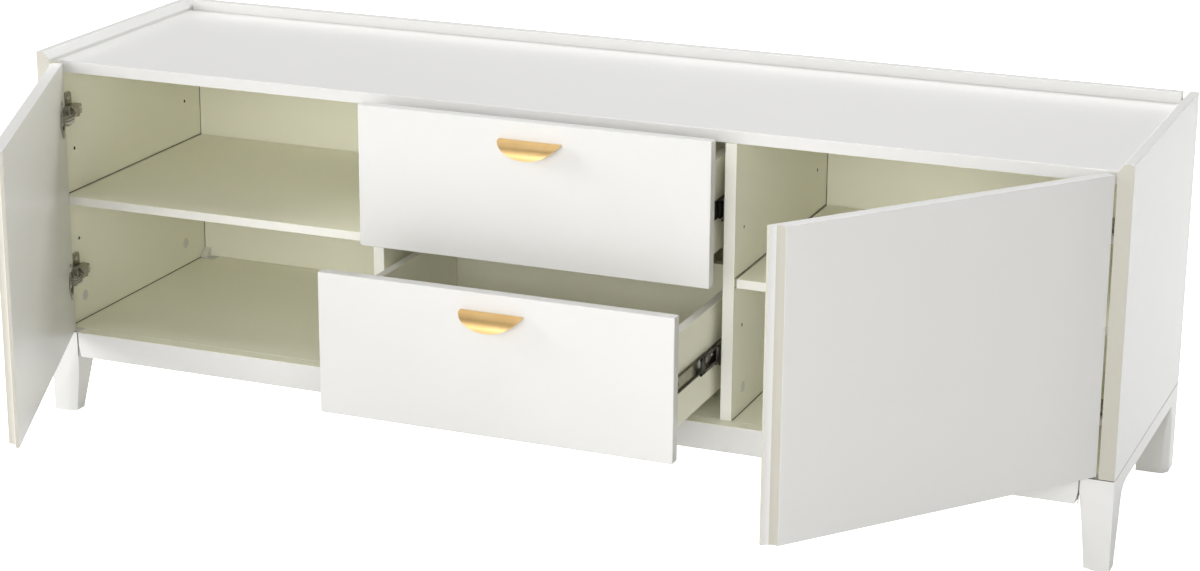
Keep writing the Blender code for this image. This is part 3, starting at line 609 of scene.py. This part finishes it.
# A half-moon plate that leaves the front level and turns down, with two bosses behind it.
def makePull(which):
    values = pullValues
    low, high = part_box(which + "_drawer_handle")
    front, back = (corner.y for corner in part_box(which + "_drawer_front"))
    across, down = values["across"], values["down"]
    middle = (low.x + high.x) / 2
    end = values["cut"]
    halfWidth = (high.x - low.x) / 2 / math.cos(end)
    reach, drop = high.y - low.y - values["rimGap"], high.z - low.z
    bm = bmesh.new()
    mark = bm.faces.layers.float.new("roundedEdge")

    def addCorner(turn, row, depth):
        bend = values["curl"] * math.sin(turn) * row / down
        fall = (1 - math.cos(bend)) / (1 - math.cos(values["curl"]))
        y, z = high.y - (reach - depth) * math.sin(bend), high.z - depth - (drop - depth) * fall
        return bm.verts.new((middle - halfWidth * math.cos(turn), y, z))

    # each ring goes down the outer face of the plate and back up the inner one
    rings = []
    for column in range(across + 1):
        turn = end + (math.pi - 2 * end) * column / across
        rings.append([addCorner(turn, row, 0.0) for row in range(down + 1)]
                     + [addCorner(turn, row, values["thickness"]) for row in range(down, -1, -1)])
    for ring, after in zip(rings, rings[1:]):
        faces = joinRings(bm, ring, after)
        faces[down][mark] = faces[-1][mark] = 1.0
    for ring in (rings[0], rings[-1]):
        for row in range(down):
            bm.faces.new((ring[row], ring[row + 1], ring[-2 - row], ring[-1 - row]))
    screws = bmesh.new()       # the two that hold the pull, inside the drawer
    z = high.z - values["thickness"] - values["bossRadius"] * 0.8
    for hand in (-1, 1):
        x = middle + hand * (halfWidth - values["bossInset"])
        addRod(bm, (x, front, z), (x, front - values["bossLength"], z), values["bossRadius"])
        addScrew(screws, Matrix.Translation((x, back, z)) @ zToY, values["screwRadius"],
                 values["screwHeight"])
    makePiece(which + "_pull", bm, ["brass"], which + "_drawer",
              (which + "_drawer_handle",), bevel=values["rimRadius"])
    makePiece(which + "_pull_screws", screws, ["nickel"], which + "_drawer")


for which in drawers:
    makePull(which)
print("pulls made")


# u runs from the door's axis into the cabinet, v from the closed door's outer face to the back.
hingeValues = {
    "inset": 0.0225,           # cup's middle from the axis
    "wall": -0.0022,           # side panel's face
    "innerFace": 0.0163,       # just over the door's inner face
    "cupRadius": 0.0172,
    "cupFloor": 0.0070,
    "cupUnder": 0.0046,
    "cupWall": 0.0022,
    "rimRadius": 0.0190,
    "rimTop": 0.0175,
    "earHalf": 0.0195,         # middle of an ear from the cup's middle
    "earRadius": 0.0065,
    "earThickness": 0.0010,
    "earScrew": (0.0207, 0.0036, 0.0013),      # from the cup's middle, head's radius and height
    "linkRadius": 0.0264,      # links on the cup's side go round the door's axis
    "linkThickness": 0.0020,
    "links": ((-0.0045, -0.0028), (-0.0010, 0.0010), (0.0028, 0.0045)),
    "pinRadius": 0.0009,
    "pinHalf": 0.0052,
    "springPlace": 0.0235,     # the spring's rod from the door's axis
    "springRod": 0.0010,
    "springHalf": 0.0095,
    "coils": 7,
    "coilRadius": 0.0018,
    "coilPitch": 0.00065,
    "firstCoil": -0.0020,
    "wireRadius": 0.0003,
    "strapRadius": 0.02894,    # the arm's strap runs just outside the links
    "strapThickness": 0.0019,
    "strapHalf": 0.0024,
    "strapEnd": 0.0033,        # how far the strap's end stands off the door's axis
    "armHalf": 0.0065,
    "sheet": 0.0011,
    # the arm's ridge, off the wall and back: tail, knee and shoulder; its nose has a place in u, v
    "ridge": ((0.0145, 0.052), (0.0165, 0.041), (0.0240, 0.0335)),
    "nose": (0.01735, 0.0249),
    "underside": 0.0035,       # off the wall
    "armPin": 0.0013,
    "armScrews": ((0.0462, 0.0044, 0.0148), (0.0362, 0.0028, 0.0200)),   # back, radius, off the wall
    "plateMiddle": 0.0388,
    "plateHalfLength": 0.009,
    "plateHalfHeight": 0.024,
    "lift": 0.00125,           # the arm's middle over the cup's
    "plateThickness": 0.0016,
    "plateScrew": (0.0155, 0.0038, 0.0013),    # from the plate's middle, head's radius and height
    "blockMiddle": (0.0248, -0.0118),      # of the soft-close block and of its foot
    "footMiddle": (0.0300, -0.0128),
}


def doorFrames(side):
    joint = joints[side + "_door_hinge"]
    axisPlace = Vector(joint["pos_m"])
    hand = 1 if axisPlace.x > 0 else -1
    opened = -math.radians(joint["range_deg"][0])
    inward = Matrix.Diagonal((-hand, 1, 1, 1))
    closed = Matrix.Translation(axisPlace) @ inward
    turned = Matrix.Translation(axisPlace) @ Matrix.Rotation(hand * opened, 4, "Z") @ inward
    return closed, turned, axisPlace.z


# A point round the door's axis; angles start from the side panel.
def spot(distance, angle):
    return (-distance * math.cos(angle), distance * math.sin(angle))


def bandOutline(radius, thickness, first, last, steps=14):
    turns = [first + (last - first) * step / steps for step in range(steps + 1)]
    return [spot(radius, turn) for turn in turns] + [spot(radius + thickness, turn) for turn in turns[::-1]]


def makeHingeCup(side, level, turned, height):
    values = hingeValues
    node = "_".join((side, level, "hinge_cup"))
    bm = bmesh.new()
    middle = turned @ Matrix.Translation((values["inset"], 0, height))
    radius, face, wall = values["cupRadius"], values["innerFace"], values["cupWall"]
    rim, top, under, floor = values["rimRadius"], values["rimTop"], values["cupUnder"], values["cupFloor"]
    inside = radius - wall
    profile = [
        (0, under), (radius - 0.0015, under), (radius, under + 0.0015), (radius, face),
        (rim - 0.0004, face), (rim, face + 0.0004), (rim - 0.0006, top), (inside + 0.0006, top),
        (inside, top - 0.0006), (inside, floor + 0.0012), (inside - 0.0012, floor), (0, floor),
    ]
    addTurned(bm, profile, middle @ zToY, 0, 40)

    # ears with their screws, each from the rim outward so the cup stays open; the outline lies in u, w
    earTop = face + values["earThickness"]
    screwOut, *screwHead = values["earScrew"]
    outline = arcPoints((0, 0), radius - wall / 2, math.radians(125), math.radians(55), 8)
    outline += arcPoints((0, values["earHalf"]), values["earRadius"], 0, math.pi, 10)
    flat = middle @ Matrix.Rotation(math.pi / 2, 4, "X")     # the outline's y becomes w, z becomes -v
    for hand in (-1, 1):
        addPrism(bm, [(u, w * hand) for u, w in outline], -earTop, -face, flat)
        seat = Matrix.Translation((0, earTop, hand * screwOut))
        addScrew(bm, middle @ seat @ zToY, *screwHead, 1)

    # links that leave the cup round the door's axis, with their pins and the spring's rod and coils
    linkRadius, thickness = values["linkRadius"], values["linkThickness"]
    inCup = math.pi - math.asin((floor + 0.0015) / linkRadius)
    atWall = math.acos(-values["wall"] / (linkRadius + thickness))
    linkPlace = turned @ Matrix.Translation((0, 0, height))

    def addPin(distance, angle, pinHalf, pinRadius):
        start, end = (linkPlace @ Vector((*spot(distance, angle), w)) for w in (-pinHalf, pinHalf))
        addRod(bm, start, end, pinRadius, 1)

    for low, high in values["links"]:
        addPrism(bm, bandOutline(linkRadius, thickness, atWall, inCup), low, high, linkPlace)
    for angle in (atWall + 0.05, inCup - 0.10):
        addPin(linkRadius + thickness / 2, angle, values["pinHalf"], values["pinRadius"])
    springAngle = inCup - 0.35
    addPin(values["springPlace"], springAngle, values["springHalf"], values["springRod"])
    wire = arcPoints((values["coilRadius"], 0), values["wireRadius"], 0, 2 * math.pi, 8)
    for coil in range(values["coils"]):
        w = values["firstCoil"] + coil * values["coilPitch"]
        coilPlace = Matrix.Translation((*spot(values["springPlace"], springAngle), w))
        addTurned(bm, wire, linkPlace @ coilPlace, 1, 16)
    bmesh.ops.remove_doubles(bm, verts=bm.verts, dist=1e-7)
    makePiece(side + "_" + level + "_hinge_cup_and_links", bm, ["nickel", "slideSteel"], side + "_door",
              (node,), bevel=0.00015, segments=1)


def makeHingeArm(side, level, closed, height):
    values = hingeValues
    node = "_".join((side, level, "hinge_arm"))
    place = closed @ Matrix.Translation((0, 0, height + values["lift"]))
    wall, sheet, half = values["wall"], values["sheet"], values["armHalf"]
    strap, strapEnd, underside = values["strapRadius"], values["strapEnd"], wall + values["underside"]
    bm = bmesh.new()

    # two stamped cheeks and the web between them, along the arm's crank
    ridge = [(wall + off, back) for off, back in values["ridge"]] + [values["nose"]]
    tail = ridge[0][1]
    ridge = roundedPath(ridge, 0.004)
    atEnd = math.acos(-strapEnd / strap)
    root = bandOutline(strap, 0.0, math.radians(125), atEnd, 6)[:7]
    cheek = ridge + root + [(strapEnd, 0.0320), (underside, 0.0340), (underside, tail)]
    for low, high in ((-half, -half + sheet), (half - sheet, half)):
        addPrism(bm, cheek, low, high, place)
    addPrism(bm, stripOutline(ridge, -sheet), -half + sheet * 0.6, half - sheet * 0.6, place)
    inCup = math.pi - math.asin((values["cupFloor"] + 0.003) / strap)
    band = bandOutline(strap, values["strapThickness"], atEnd, inCup)
    addPrism(bm, band, -values["strapHalf"], values["strapHalf"], place)
    pin = spot(strap + 0.001, 1.83)
    start, end = (place @ Vector((*pin, w)) for w in (-half - 0.0006, half + 0.0006))
    addRod(bm, start, end, values["armPin"], 1)

    # mounting plate on the side panel; its outline lies in v, w
    facing = place @ Matrix(((0, 0, 1, 0), (1, 0, 0, 0), (0, 1, 0, 0), (0, 0, 0, 1)))
    middle, plateTop = values["plateMiddle"], wall + values["plateThickness"]
    wing = roundedRectangle(values["plateHalfLength"], values["plateHalfHeight"], 0.0055, (middle, 0))
    addPrism(bm, wing, wall, plateTop, facing)
    raised = roundedRectangle(0.0105, 0.0056, 0.0015, (middle + 0.0025, 0))
    addPrism(bm, raised, wall + 0.0012, wall + 0.0085, facing)

    # the screws stand on low collars: radius, chamfer and rise
    def addCollarScrew(place, collar, chamfer, rise, steps, radius, height):
        seat = facing @ Matrix.Translation(place)
        addTurned(bm, [(0, 0), (collar, 0), (collar - chamfer, rise), (0, rise)], seat, 0, steps)
        addScrew(bm, seat @ Matrix.Translation((0, 0, rise)), radius, height, 1)

    screwOut, *screwHead = values["plateScrew"]
    for hand in (-1, 1):
        addCollarScrew((middle, hand * screwOut, plateTop), 0.0062, 0.0004, 0.0009, 24, *screwHead)
    # the fixing screw through the web and the adjusting screw nearer the nose
    for back, radius, off in values["armScrews"]:
        addCollarScrew((back, 0, wall + off), radius + 0.0010, 0.0003, 0.0006, 28, radius, 0.0016)

    # the soft-close block below the nose
    block = roundedRectangle(0.0060, 0.0045, 0.0012, values["blockMiddle"])
    addPrism(bm, block, wall + 0.0020, wall + 0.0160, facing, 2)
    foot = roundedRectangle(0.0080, 0.0052, 0.0012, values["footMiddle"])
    addPrism(bm, foot, wall, wall + 0.0024, facing)
    makePiece(side + "_" + level + "_hinge_arm_and_plate", bm, ["nickel", "slideSteel", "palePlastic"],
              "cabinet", (node,), bevel=0.00018, segments=1)


def makeHinges():
    for side in sides:
        closed, turned, axisHeight = doorFrames(side)
        for level in ("lower", "upper"):
            cupLow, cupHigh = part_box("_".join((side, level, "hinge_cup")))
            height = (cupLow.z + cupHigh.z) / 2 - axisHeight
            makeHingeCup(side, level, turned, height)
            makeHingeArm(side, level, closed, height)


makeHinges()
print("hinges made")


slideValues = {
    "sheet": 0.0010,
    "bend": 0.0012,            # radius of the rolled corners
    "curl": {"outer": 0.0030, "middle": 0.0028, "inner": 0.0024},
    "screws": (0.035, 0.160, 0.300),       # from the front end
    "screwRadius": 0.0034,
    "screwHeight": 0.0014,
    "stopRecess": 0.012,       # middle of the stop that is pressed out of the web
    "channelRecess": 0.078,    # the middle channel stands back behind its ball cage
    "cageRecess": 0.023,       # of the front cage; the rear one starts behind the rail's middle
    "rearCage": 0.03,
    "cageLength": 0.095,
    "cageEdge": 0.0021,        # half height of a cage strip
    "cageGap": 0.0004,
    "noseLength": 0.016,
    "ballRadius": 0.0014,
    "ballPitch": 0.0068,
    "ballRecess": 0.004,       # from the cage's ends
}


# Section of a member in x, z: a channel whose lips are rolled in.
def channelPath(depth, half, curl, bend, sheet):
    reach = depth - 0.0001
    corners = [(reach - 0.0002, -half + curl), (reach, -half), (0, -half), (0, half), (reach, half),
               (reach - 0.0002, half - curl)]
    return stripOutline(roundedPath(corners, bend, 3), -sheet)


def makeSlideMember(which, side, member):
    values = slideValues
    node = "_".join((which, side, "slide", member))
    low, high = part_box(node)
    hand = 1 if low.x > 0 else -1
    depth, half = high.x - low.x, (high.z - low.z) / 2
    front, back, sheet = low.y, high.y, values["sheet"]
    away = hand if member == "inner" else -hand        # from the web to the lips
    webX = low.x if away > 0 else high.x
    middleZ = (low.z + high.z) / 2
    place = Matrix(((away, 0, 0, webX), (0, 0, 1, 0), (0, 1, 0, middleZ), (0, 0, 0, 1)))
    facing = Matrix(((0, 0, away, webX), (1, 0, 0, 0), (0, 1, 0, middleZ), (0, 0, 0, 1)))
    bm = bmesh.new()
    channelFront = front + (values["channelRecess"] if member == "middle" else 0)
    section = channelPath(depth, half, values["curl"][member], values["bend"], sheet)
    # faces that stand off the web take the near-black steel, a painted dark reflection on the lips
    for face in addPrism(bm, section, channelFront, back, place):
        if abs(face.calc_center_median().x - webX) > sheet * 1.5:
            face.material_index = 4
    if member != "middle":
        for distance in values["screws"]:
            seat = facing @ Matrix.Translation((front + distance, 0, sheet))
            addScrew(bm, seat, values["screwRadius"], values["screwHeight"], 1)
        tab = roundedRectangle(0.004, 0.0045, 0.0012, (front + values["stopRecess"], 0))
        addPrism(bm, tab, sheet * 0.8, depth * 0.62, facing)
    else:
        # ball cages between the lips: two strips joined by a nose, with the balls set in them
        cage, nose, pitch = values["cageLength"] / 2, values["noseLength"] / 2, values["ballPitch"]
        edgeHalf, recess = values["cageEdge"], values["ballRecess"]
        for start in (front + values["cageRecess"], (front + back) / 2 + values["rearCage"]):
            for edge in (-1, 1):
                z = edge * (half - sheet - edgeHalf - values["cageGap"])
                strip = roundedRectangle(cage, edgeHalf, 0.0008, (start + cage, z))
                addPrism(bm, strip, sheet, depth - 0.0007, facing, 2)
                for ball in range(int((values["cageLength"] - recess) / pitch)):
                    y = start + recess + pitch * (ball + 0.5)
                    addBall(bm, facing @ Vector((y, z, depth - 0.0016)), values["ballRadius"], 3)
            outline = roundedRectangle(nose, half - sheet - 0.0008, 0.0012, (start + nose, 0))
            addPrism(bm, outline, sheet, depth - 0.0015, facing, 2)
    makePiece("_".join((which, side, member, "slide_rail")), bm,
              ["slideSteel", "nickel", "blackPlastic", "slideSteel", "darkReflectionSteel"],
              nodes[node]["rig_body"], (node,), bevel=0.00015, segments=1)


for which in drawers:
    for side in sides:
        for member in ("outer", "middle", "inner"):
            makeSlideMember(which, side, member)
print("slides made")


bracketValues = {"edgeArea": 0.00002, "radius": 0.0003}


# The angle brackets under the shelves, with wear on their narrow faces.
def makeBrackets():
    for node in sorted(name for name in nodes if "shelf_bracket" in name):
        bm = meshOfNode(node, boardValues["weld"])
        mark = bm.faces.layers.float.new("roundedEdge")
        for face in bm.faces:
            face[mark] = 1.0 if face.calc_area() < bracketValues["edgeArea"] else 0.0
        makePiece("finished_" + node, bm, ["nickel"], "cabinet", (node,),
                  bevel=bracketValues["radius"])


# The inner faces of the two cupboards: side, board, the face's x and the way that it faces.
def cupboardWalls():
    walls = []
    for side, hand in sides.items():
        for board, facing in ((side + "_side_panel", -hand), (side + "_divider", hand)):
            low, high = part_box(board)
            walls.append((side, board, high.x if facing > 0 else low.x, facing))
    return walls


capValues = {
    "radius": 0.0075,
    "rise": 0.0007,
    "fromFront": (0.060, 0.340),           # behind the side panel's front edge
    "overFloor": 0.034,
}


# Press-in caps over the connectors, on the cupboards' walls.
def makeConnectorCaps():
    values = capValues
    radius, rise = values["radius"], values["rise"]
    dome = [(0, 0), (radius, 0), (radius, rise * 0.35), (radius - 0.0006, rise * 0.8),
            (radius - 0.0020, rise), (radius * 0.30, rise), (radius * 0.22, rise * 0.7), (0, rise * 0.7)]
    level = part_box("bottom_panel")[1].z + values["overFloor"]
    bm = bmesh.new()
    for side, _, faceX, facing in cupboardWalls():
        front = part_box(side + "_side_panel")[0].y
        for back in values["fromFront"]:
            place = Matrix.Translation((faceX, front + back, level))
            addTurned(bm, dome, place @ Matrix.Rotation(facing * math.pi / 2, 4, "Y"), 0, 28)
    makePiece("connector_caps", bm, ["palePlastic"], "cabinet")


boreValues = {
    "radius": 0.0024,
    "ring": 0.0034,            # outer radius of the burr, and its height
    "proud": 0.00012,
    "deep": 0.0062,
    "edgeGap": 0.02,           # a corner nearer than this to a board's edge isn't a pin hole's
    "floorGap": 0.03,
    "ceilingGap": 0.04,
    "spread": 0.007,           # corners within this of each other belong to one hole
    "pegReach": (0.012, 0.03),     # a peg this near, along the board and off it, fills the hole
}


# The middles of the holes in a board's face at x = faceX, found from the rings of corners round them.
def findHoles(node, faceX):
    values, gap = boreValues, boreValues["edgeGap"]
    low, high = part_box(node)
    bottom, top = low.z + values["floorGap"], high.z - values["ceilingGap"]
    found = []
    for vertex in nodes[node].data.vertices:
        y, z = vertex.co.y, vertex.co.z
        inside = low.y + gap < y < high.y - gap and bottom < z < top
        if abs(vertex.co.x - faceX) < 1e-5 and inside:
            for ring in found:
                if math.hypot(ring[0][0] - y, ring[0][1] - z) < values["spread"]:
                    ring.append((y, z))
                    break
            else:
                found.append([(y, z)])
    return [tuple((min(axis) + max(axis)) / 2 for axis in zip(*ring)) for ring in found if len(ring) > 5]


# Near-black painted shade inside the shelf-pin holes, with a raised burr in the inside boards' cream round
# each.
def makePinBores():
    values = boreValues
    radius, ring, deep, proud = values["radius"], values["ring"], values["deep"], values["proud"]
    cup = [(0, -deep), (radius, -deep), (radius, -0.0001), (radius - 0.0002, -0.0001),
           (radius - 0.0002, -deep + 0.0002), (0, -deep + 0.0002)]
    burr = [(radius, 0), (ring, 0), (ring - 0.0004, proud), (radius + 0.0002, proud * 1.6), (radius, 0)]
    pegs = [(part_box(name)[0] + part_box(name)[1]) / 2 for name in nodes if "shelf_bracket" in name]
    along, off = values["pegReach"]
    places = []
    for _, board, faceX, facing in cupboardWalls():
        turn = Matrix.Rotation(facing * math.pi / 2, 4, "Y")
        for y, z in findHoles(board, faceX):
            if not any(math.hypot(peg.y - y, peg.z - z) < along and abs(peg.x - faceX) < off
                       for peg in pegs):
                places.append(Matrix.Translation((faceX, y, z)) @ turn)
    bm = bmesh.new()
    for place in places:
        addTurned(bm, cup, place, 0, 20)
        addTurned(bm, burr, place, 1, 20)
    print("open pin holes:", len(places))
    makePiece("shelf_pin_bores", bm, ["holeShade", "liningShadeTint"], "cabinet")


clipValues = {
    "size": 0.013,
    "thickness": 0.0024,
    "length": 0.010,
    "gap": 0.0003,             # to the boards round it
    "screwAside": 0.0055,      # the screw's middle from the cupboard's wall
    "screwRadius": 0.0024,
    "screwHeight": 0.0010,
}


# Small angle clips that hold the back board down in the corners of the two cupboards.
def makeCornerClips():
    values = clipValues
    size, thick, gap = values["size"], values["thickness"], values["gap"]
    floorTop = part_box("bottom_panel")[1].z
    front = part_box("back_panel")[0].y
    outline = [(0, 0), (size, 0), (size, thick), (thick, size), (0, size)]
    tilt = Matrix.Rotation(math.radians(45), 4, "X")
    bm = bmesh.new()
    for _, _, x, inward in cupboardWalls():
        place = Matrix(((0, 0, inward, x + inward * 0.0004), (-1, 0, 0, front - gap),
                        (0, 1, 0, floorTop + gap), (0, 0, 0, 1)))
        addPrism(bm, outline, 0, values["length"], place)
        seat = Matrix.Translation((x + inward * values["screwAside"], front - size * 0.55,
                                   floorTop + size * 0.45))
        addScrew(bm, seat @ tilt, values["screwRadius"], values["screwHeight"], 1)
    makePiece("back_corner_clips", bm, ["palePlastic", "nickel"], "cabinet", bevel=0.0003)


shadowLineValues = {
    "radius": 0.00055,
    "uprightRadius": 0.0005,   # in the cupboards' rear corners
    "inset": 0.0004,           # from the boards' corner into the open
    "gap": 0.002,              # left free at a shadow line's ends; legGap is for the legs and the rail
    "legGap": 0.001,
    "legProud": 0.00008,       # before the legs' and the rail's front
    "steps": 6,
}


# Painted shade: dark hairlines where two boards meet, each a thin near-black rod sunk along the corner to
# stand for the shadow in the gap.
def makeShadowLines():
    values = shadowLineValues
    inset, gap, legGap, proud = (values[key] for key in ("inset", "gap", "legGap", "legProud"))

    def addShadowLine(bm, start, end, radius=values["radius"]):
        addRod(bm, start, end, radius, 0, values["steps"])

    boards, legs = bmesh.new(), bmesh.new()
    back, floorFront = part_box("back_panel")[0].y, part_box("bottom_panel")[0].y
    floorTop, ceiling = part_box("bottom_panel")[1].z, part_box("top_panel")[0].z
    for side, _, faceX, facing in cupboardWalls():
        shelfLow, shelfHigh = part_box(side + "_shelf")
        x = faceX + facing * inset
        for z, front in ((floorTop + inset, floorFront), (shelfHigh.z + inset, shelfLow.y),
                         (shelfLow.z - inset, shelfLow.y)):
            addShadowLine(boards, (x, front + gap, z), (x, back - inset, z))
        addShadowLine(boards, (x, back, floorTop), (x, back, ceiling), values["uprightRadius"])
    makePiece("board_shadow_lines", boards, ["paintedShadowLine"], "cabinet")

    railLow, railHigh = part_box("front_rail")
    for side, hand in sides.items():
        legLow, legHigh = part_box("front_" + side + "_leg")
        panelLow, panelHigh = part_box(side + "_side_panel")
        front, top = max(legLow.y, panelLow.y) - proud, panelLow.z
        outside = panelHigh.x - inset if hand > 0 else panelLow.x + inset
        join, joinFront = legHigh.x if hand < 0 else legLow.x, railLow.y - proud
        addShadowLine(legs, (legLow.x + legGap, front, top), (legHigh.x - legGap, front, top))
        addShadowLine(legs, (outside, panelLow.y + gap, top), (outside, panelHigh.y - gap, top))
        addShadowLine(legs, (join, joinFront, railLow.z + legGap), (join, joinFront, railHigh.z - legGap))
    makePiece("leg_shadow_lines", legs, ["paintedShadowLine"], "cabinet")


backScrewValues = {
    "radius": 0.0035,
    "height": 0.0016,
    "sunk": 0.0013,            # under the board's outer face
    "inset": 0.011,            # from the board's edges
    "pitch": 0.16,
}


# Screws round the hardboard back and down its dividers.
def makeBackScrews():
    values = backScrewValues
    inset, pitch = values["inset"], values["pitch"]
    low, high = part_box("back_panel")
    wide, tall = high.x - low.x - 2 * inset, high.z - low.z
    count, upright = round(wide / pitch), round(tall / pitch)
    places = [(low.x + inset + wide * step / count, z) for step in range(count + 1)
              for z in (low.z + inset, high.z - inset)]
    columns = [low.x + inset, high.x - inset]
    for side in sides:
        dividerLow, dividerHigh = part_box(side + "_divider")
        columns.append((dividerLow.x + dividerHigh.x) / 2)
    places += [(x, low.z + tall * step / upright) for x in columns for step in range(1, upright)]
    bm = bmesh.new()
    for x, z in places:
        place = Matrix.Translation((x, high.y - values["sunk"], z)) @ zToY
        addScrew(bm, place, values["radius"], values["height"])
    makePiece("back_panel_screws", bm, ["nickel"], "cabinet")


makeBrackets()
makeConnectorCaps()
makePinBores()
makeCornerClips()
makeShadowLines()
makeBackScrews()
print("small parts made")


stageValues = {
    "floorHalf": 40.0,
    "floorColour": (0.93, 0.93, 0.93),
    "floorRough": 0.85,
    "floorGlow": 0.03,         # light that the floor gives the stand, and how bright the camera sees it
    "floorWhite": 1.0,
    "worldStrength": 0.08,
}

# Soft lights aimed at the stand: azimuth from straight ahead and elevation in degrees, distance,
# size across and up, power in watts and colour.
lightAim = (0.0, 0.0, 0.3)
lights = {
    "front": (0, 11, 4.2, 3.2, 1.6, 83.0, (1.0, 1.0, 0.985)),
    "frontHigh": (0, 38, 4.2, 3.0, 1.6, 13.0, (1.0, 1.0, 0.985)),
    "frontRight": (24, 20, 4.6, 2.2, 1.8, 34.0, (1.0, 0.980, 0.950)),
    "left": (-75, 20, 4.2, 2.0, 1.8, 118.0, (1.0, 0.995, 0.985)),
    "behind": (180, 50, 4.2, 2.6, 1.8, 142.0, (1.0, 1.0, 1.0)),
    "behindRight": (128, 10, 4.2, 2.0, 1.8, 47.0, (1.0, 1.0, 1.0)),
    "overhead": (0, 89, 3.6, 2.8, 2.0, 31.0, (1.0, 1.0, 1.0)),
}

cameraValues = {
    "place": (1.3551, -3.1470, 1.3537),
    "azimuth": 22.00,
    "elevation": 17.41,
    "roll": 0.40,
    "lens": 84.03,
    "sensor": 36.0,
}


def makeFloor():
    values = stageValues
    mesh = bpy.data.meshes.new("floor")
    half = values["floorHalf"]
    corners = [(-half, -half, 0), (half, -half, 0), (half, half, 0), (-half, half, 0)]
    mesh.from_pydata(corners, [], [(0, 1, 2, 3)])
    material = bpy.data.materials.new("paleFloor")
    material.use_nodes = True
    tree = material.node_tree
    seen = addNode(tree, "ShaderNodeLightPath").outputs["Is Camera Ray"]
    glow = addRange(tree, seen, 0.0, 1.0, values["floorGlow"], values["floorWhite"])
    feedByName(tree, tree.nodes["Principled BSDF"], Base_Color=withAlpha(values["floorColour"]),
               Roughness=values["floorRough"], Emission_Color=(1, 1, 1, 1), Emission_Strength=glow)
    mesh.materials.append(material)
    addObject("floor", mesh)


def makeLights():
    world = bpy.data.worlds.new("studio")
    world.use_nodes = True
    background = world.node_tree.nodes["Background"]
    background.inputs["Color"].default_value = (1.0, 1.0, 1.0, 1.0)
    background.inputs["Strength"].default_value = stageValues["worldStrength"]
    bpy.context.scene.world = world
    for name, (azimuth, elevation, distance, across, up, power, colour) in lights.items():
        turn, tilt = math.radians(azimuth), math.radians(elevation)
        toward = Vector((math.sin(turn) * math.cos(tilt), -math.cos(turn) * math.cos(tilt), math.sin(tilt)))
        lamp = bpy.data.lights.new(name, "AREA")
        lamp.shape = "RECTANGLE"
        lamp.size, lamp.size_y = across, up
        lamp.energy = power
        lamp.color = colour
        holder = addObject(name, lamp)
        holder.location = Vector(lightAim) + toward * distance
        holder.rotation_euler = (-toward).to_track_quat("-Z", "Y").to_euler()


def makeCamera():
    values = cameraValues
    data = bpy.data.cameras.new("camera")
    data.lens, data.sensor_width = values["lens"], values["sensor"]
    data.clip_end = 200.0
    camera = addObject("camera", data)
    turn = Matrix.Rotation(math.radians(values["azimuth"]), 4, "Z")
    tilt = Matrix.Rotation(math.radians(90 - values["elevation"]), 4, "X")
    roll = Matrix.Rotation(math.radians(values["roll"]), 4, "Z")
    camera.matrix_world = Matrix.Translation(values["place"]) @ turn @ tilt @ roll
    bpy.context.scene.camera = camera
    bpy.context.scene.view_settings.view_transform = "Standard"


makeFloor()
makeLights()
makeCamera()
print("stage made")
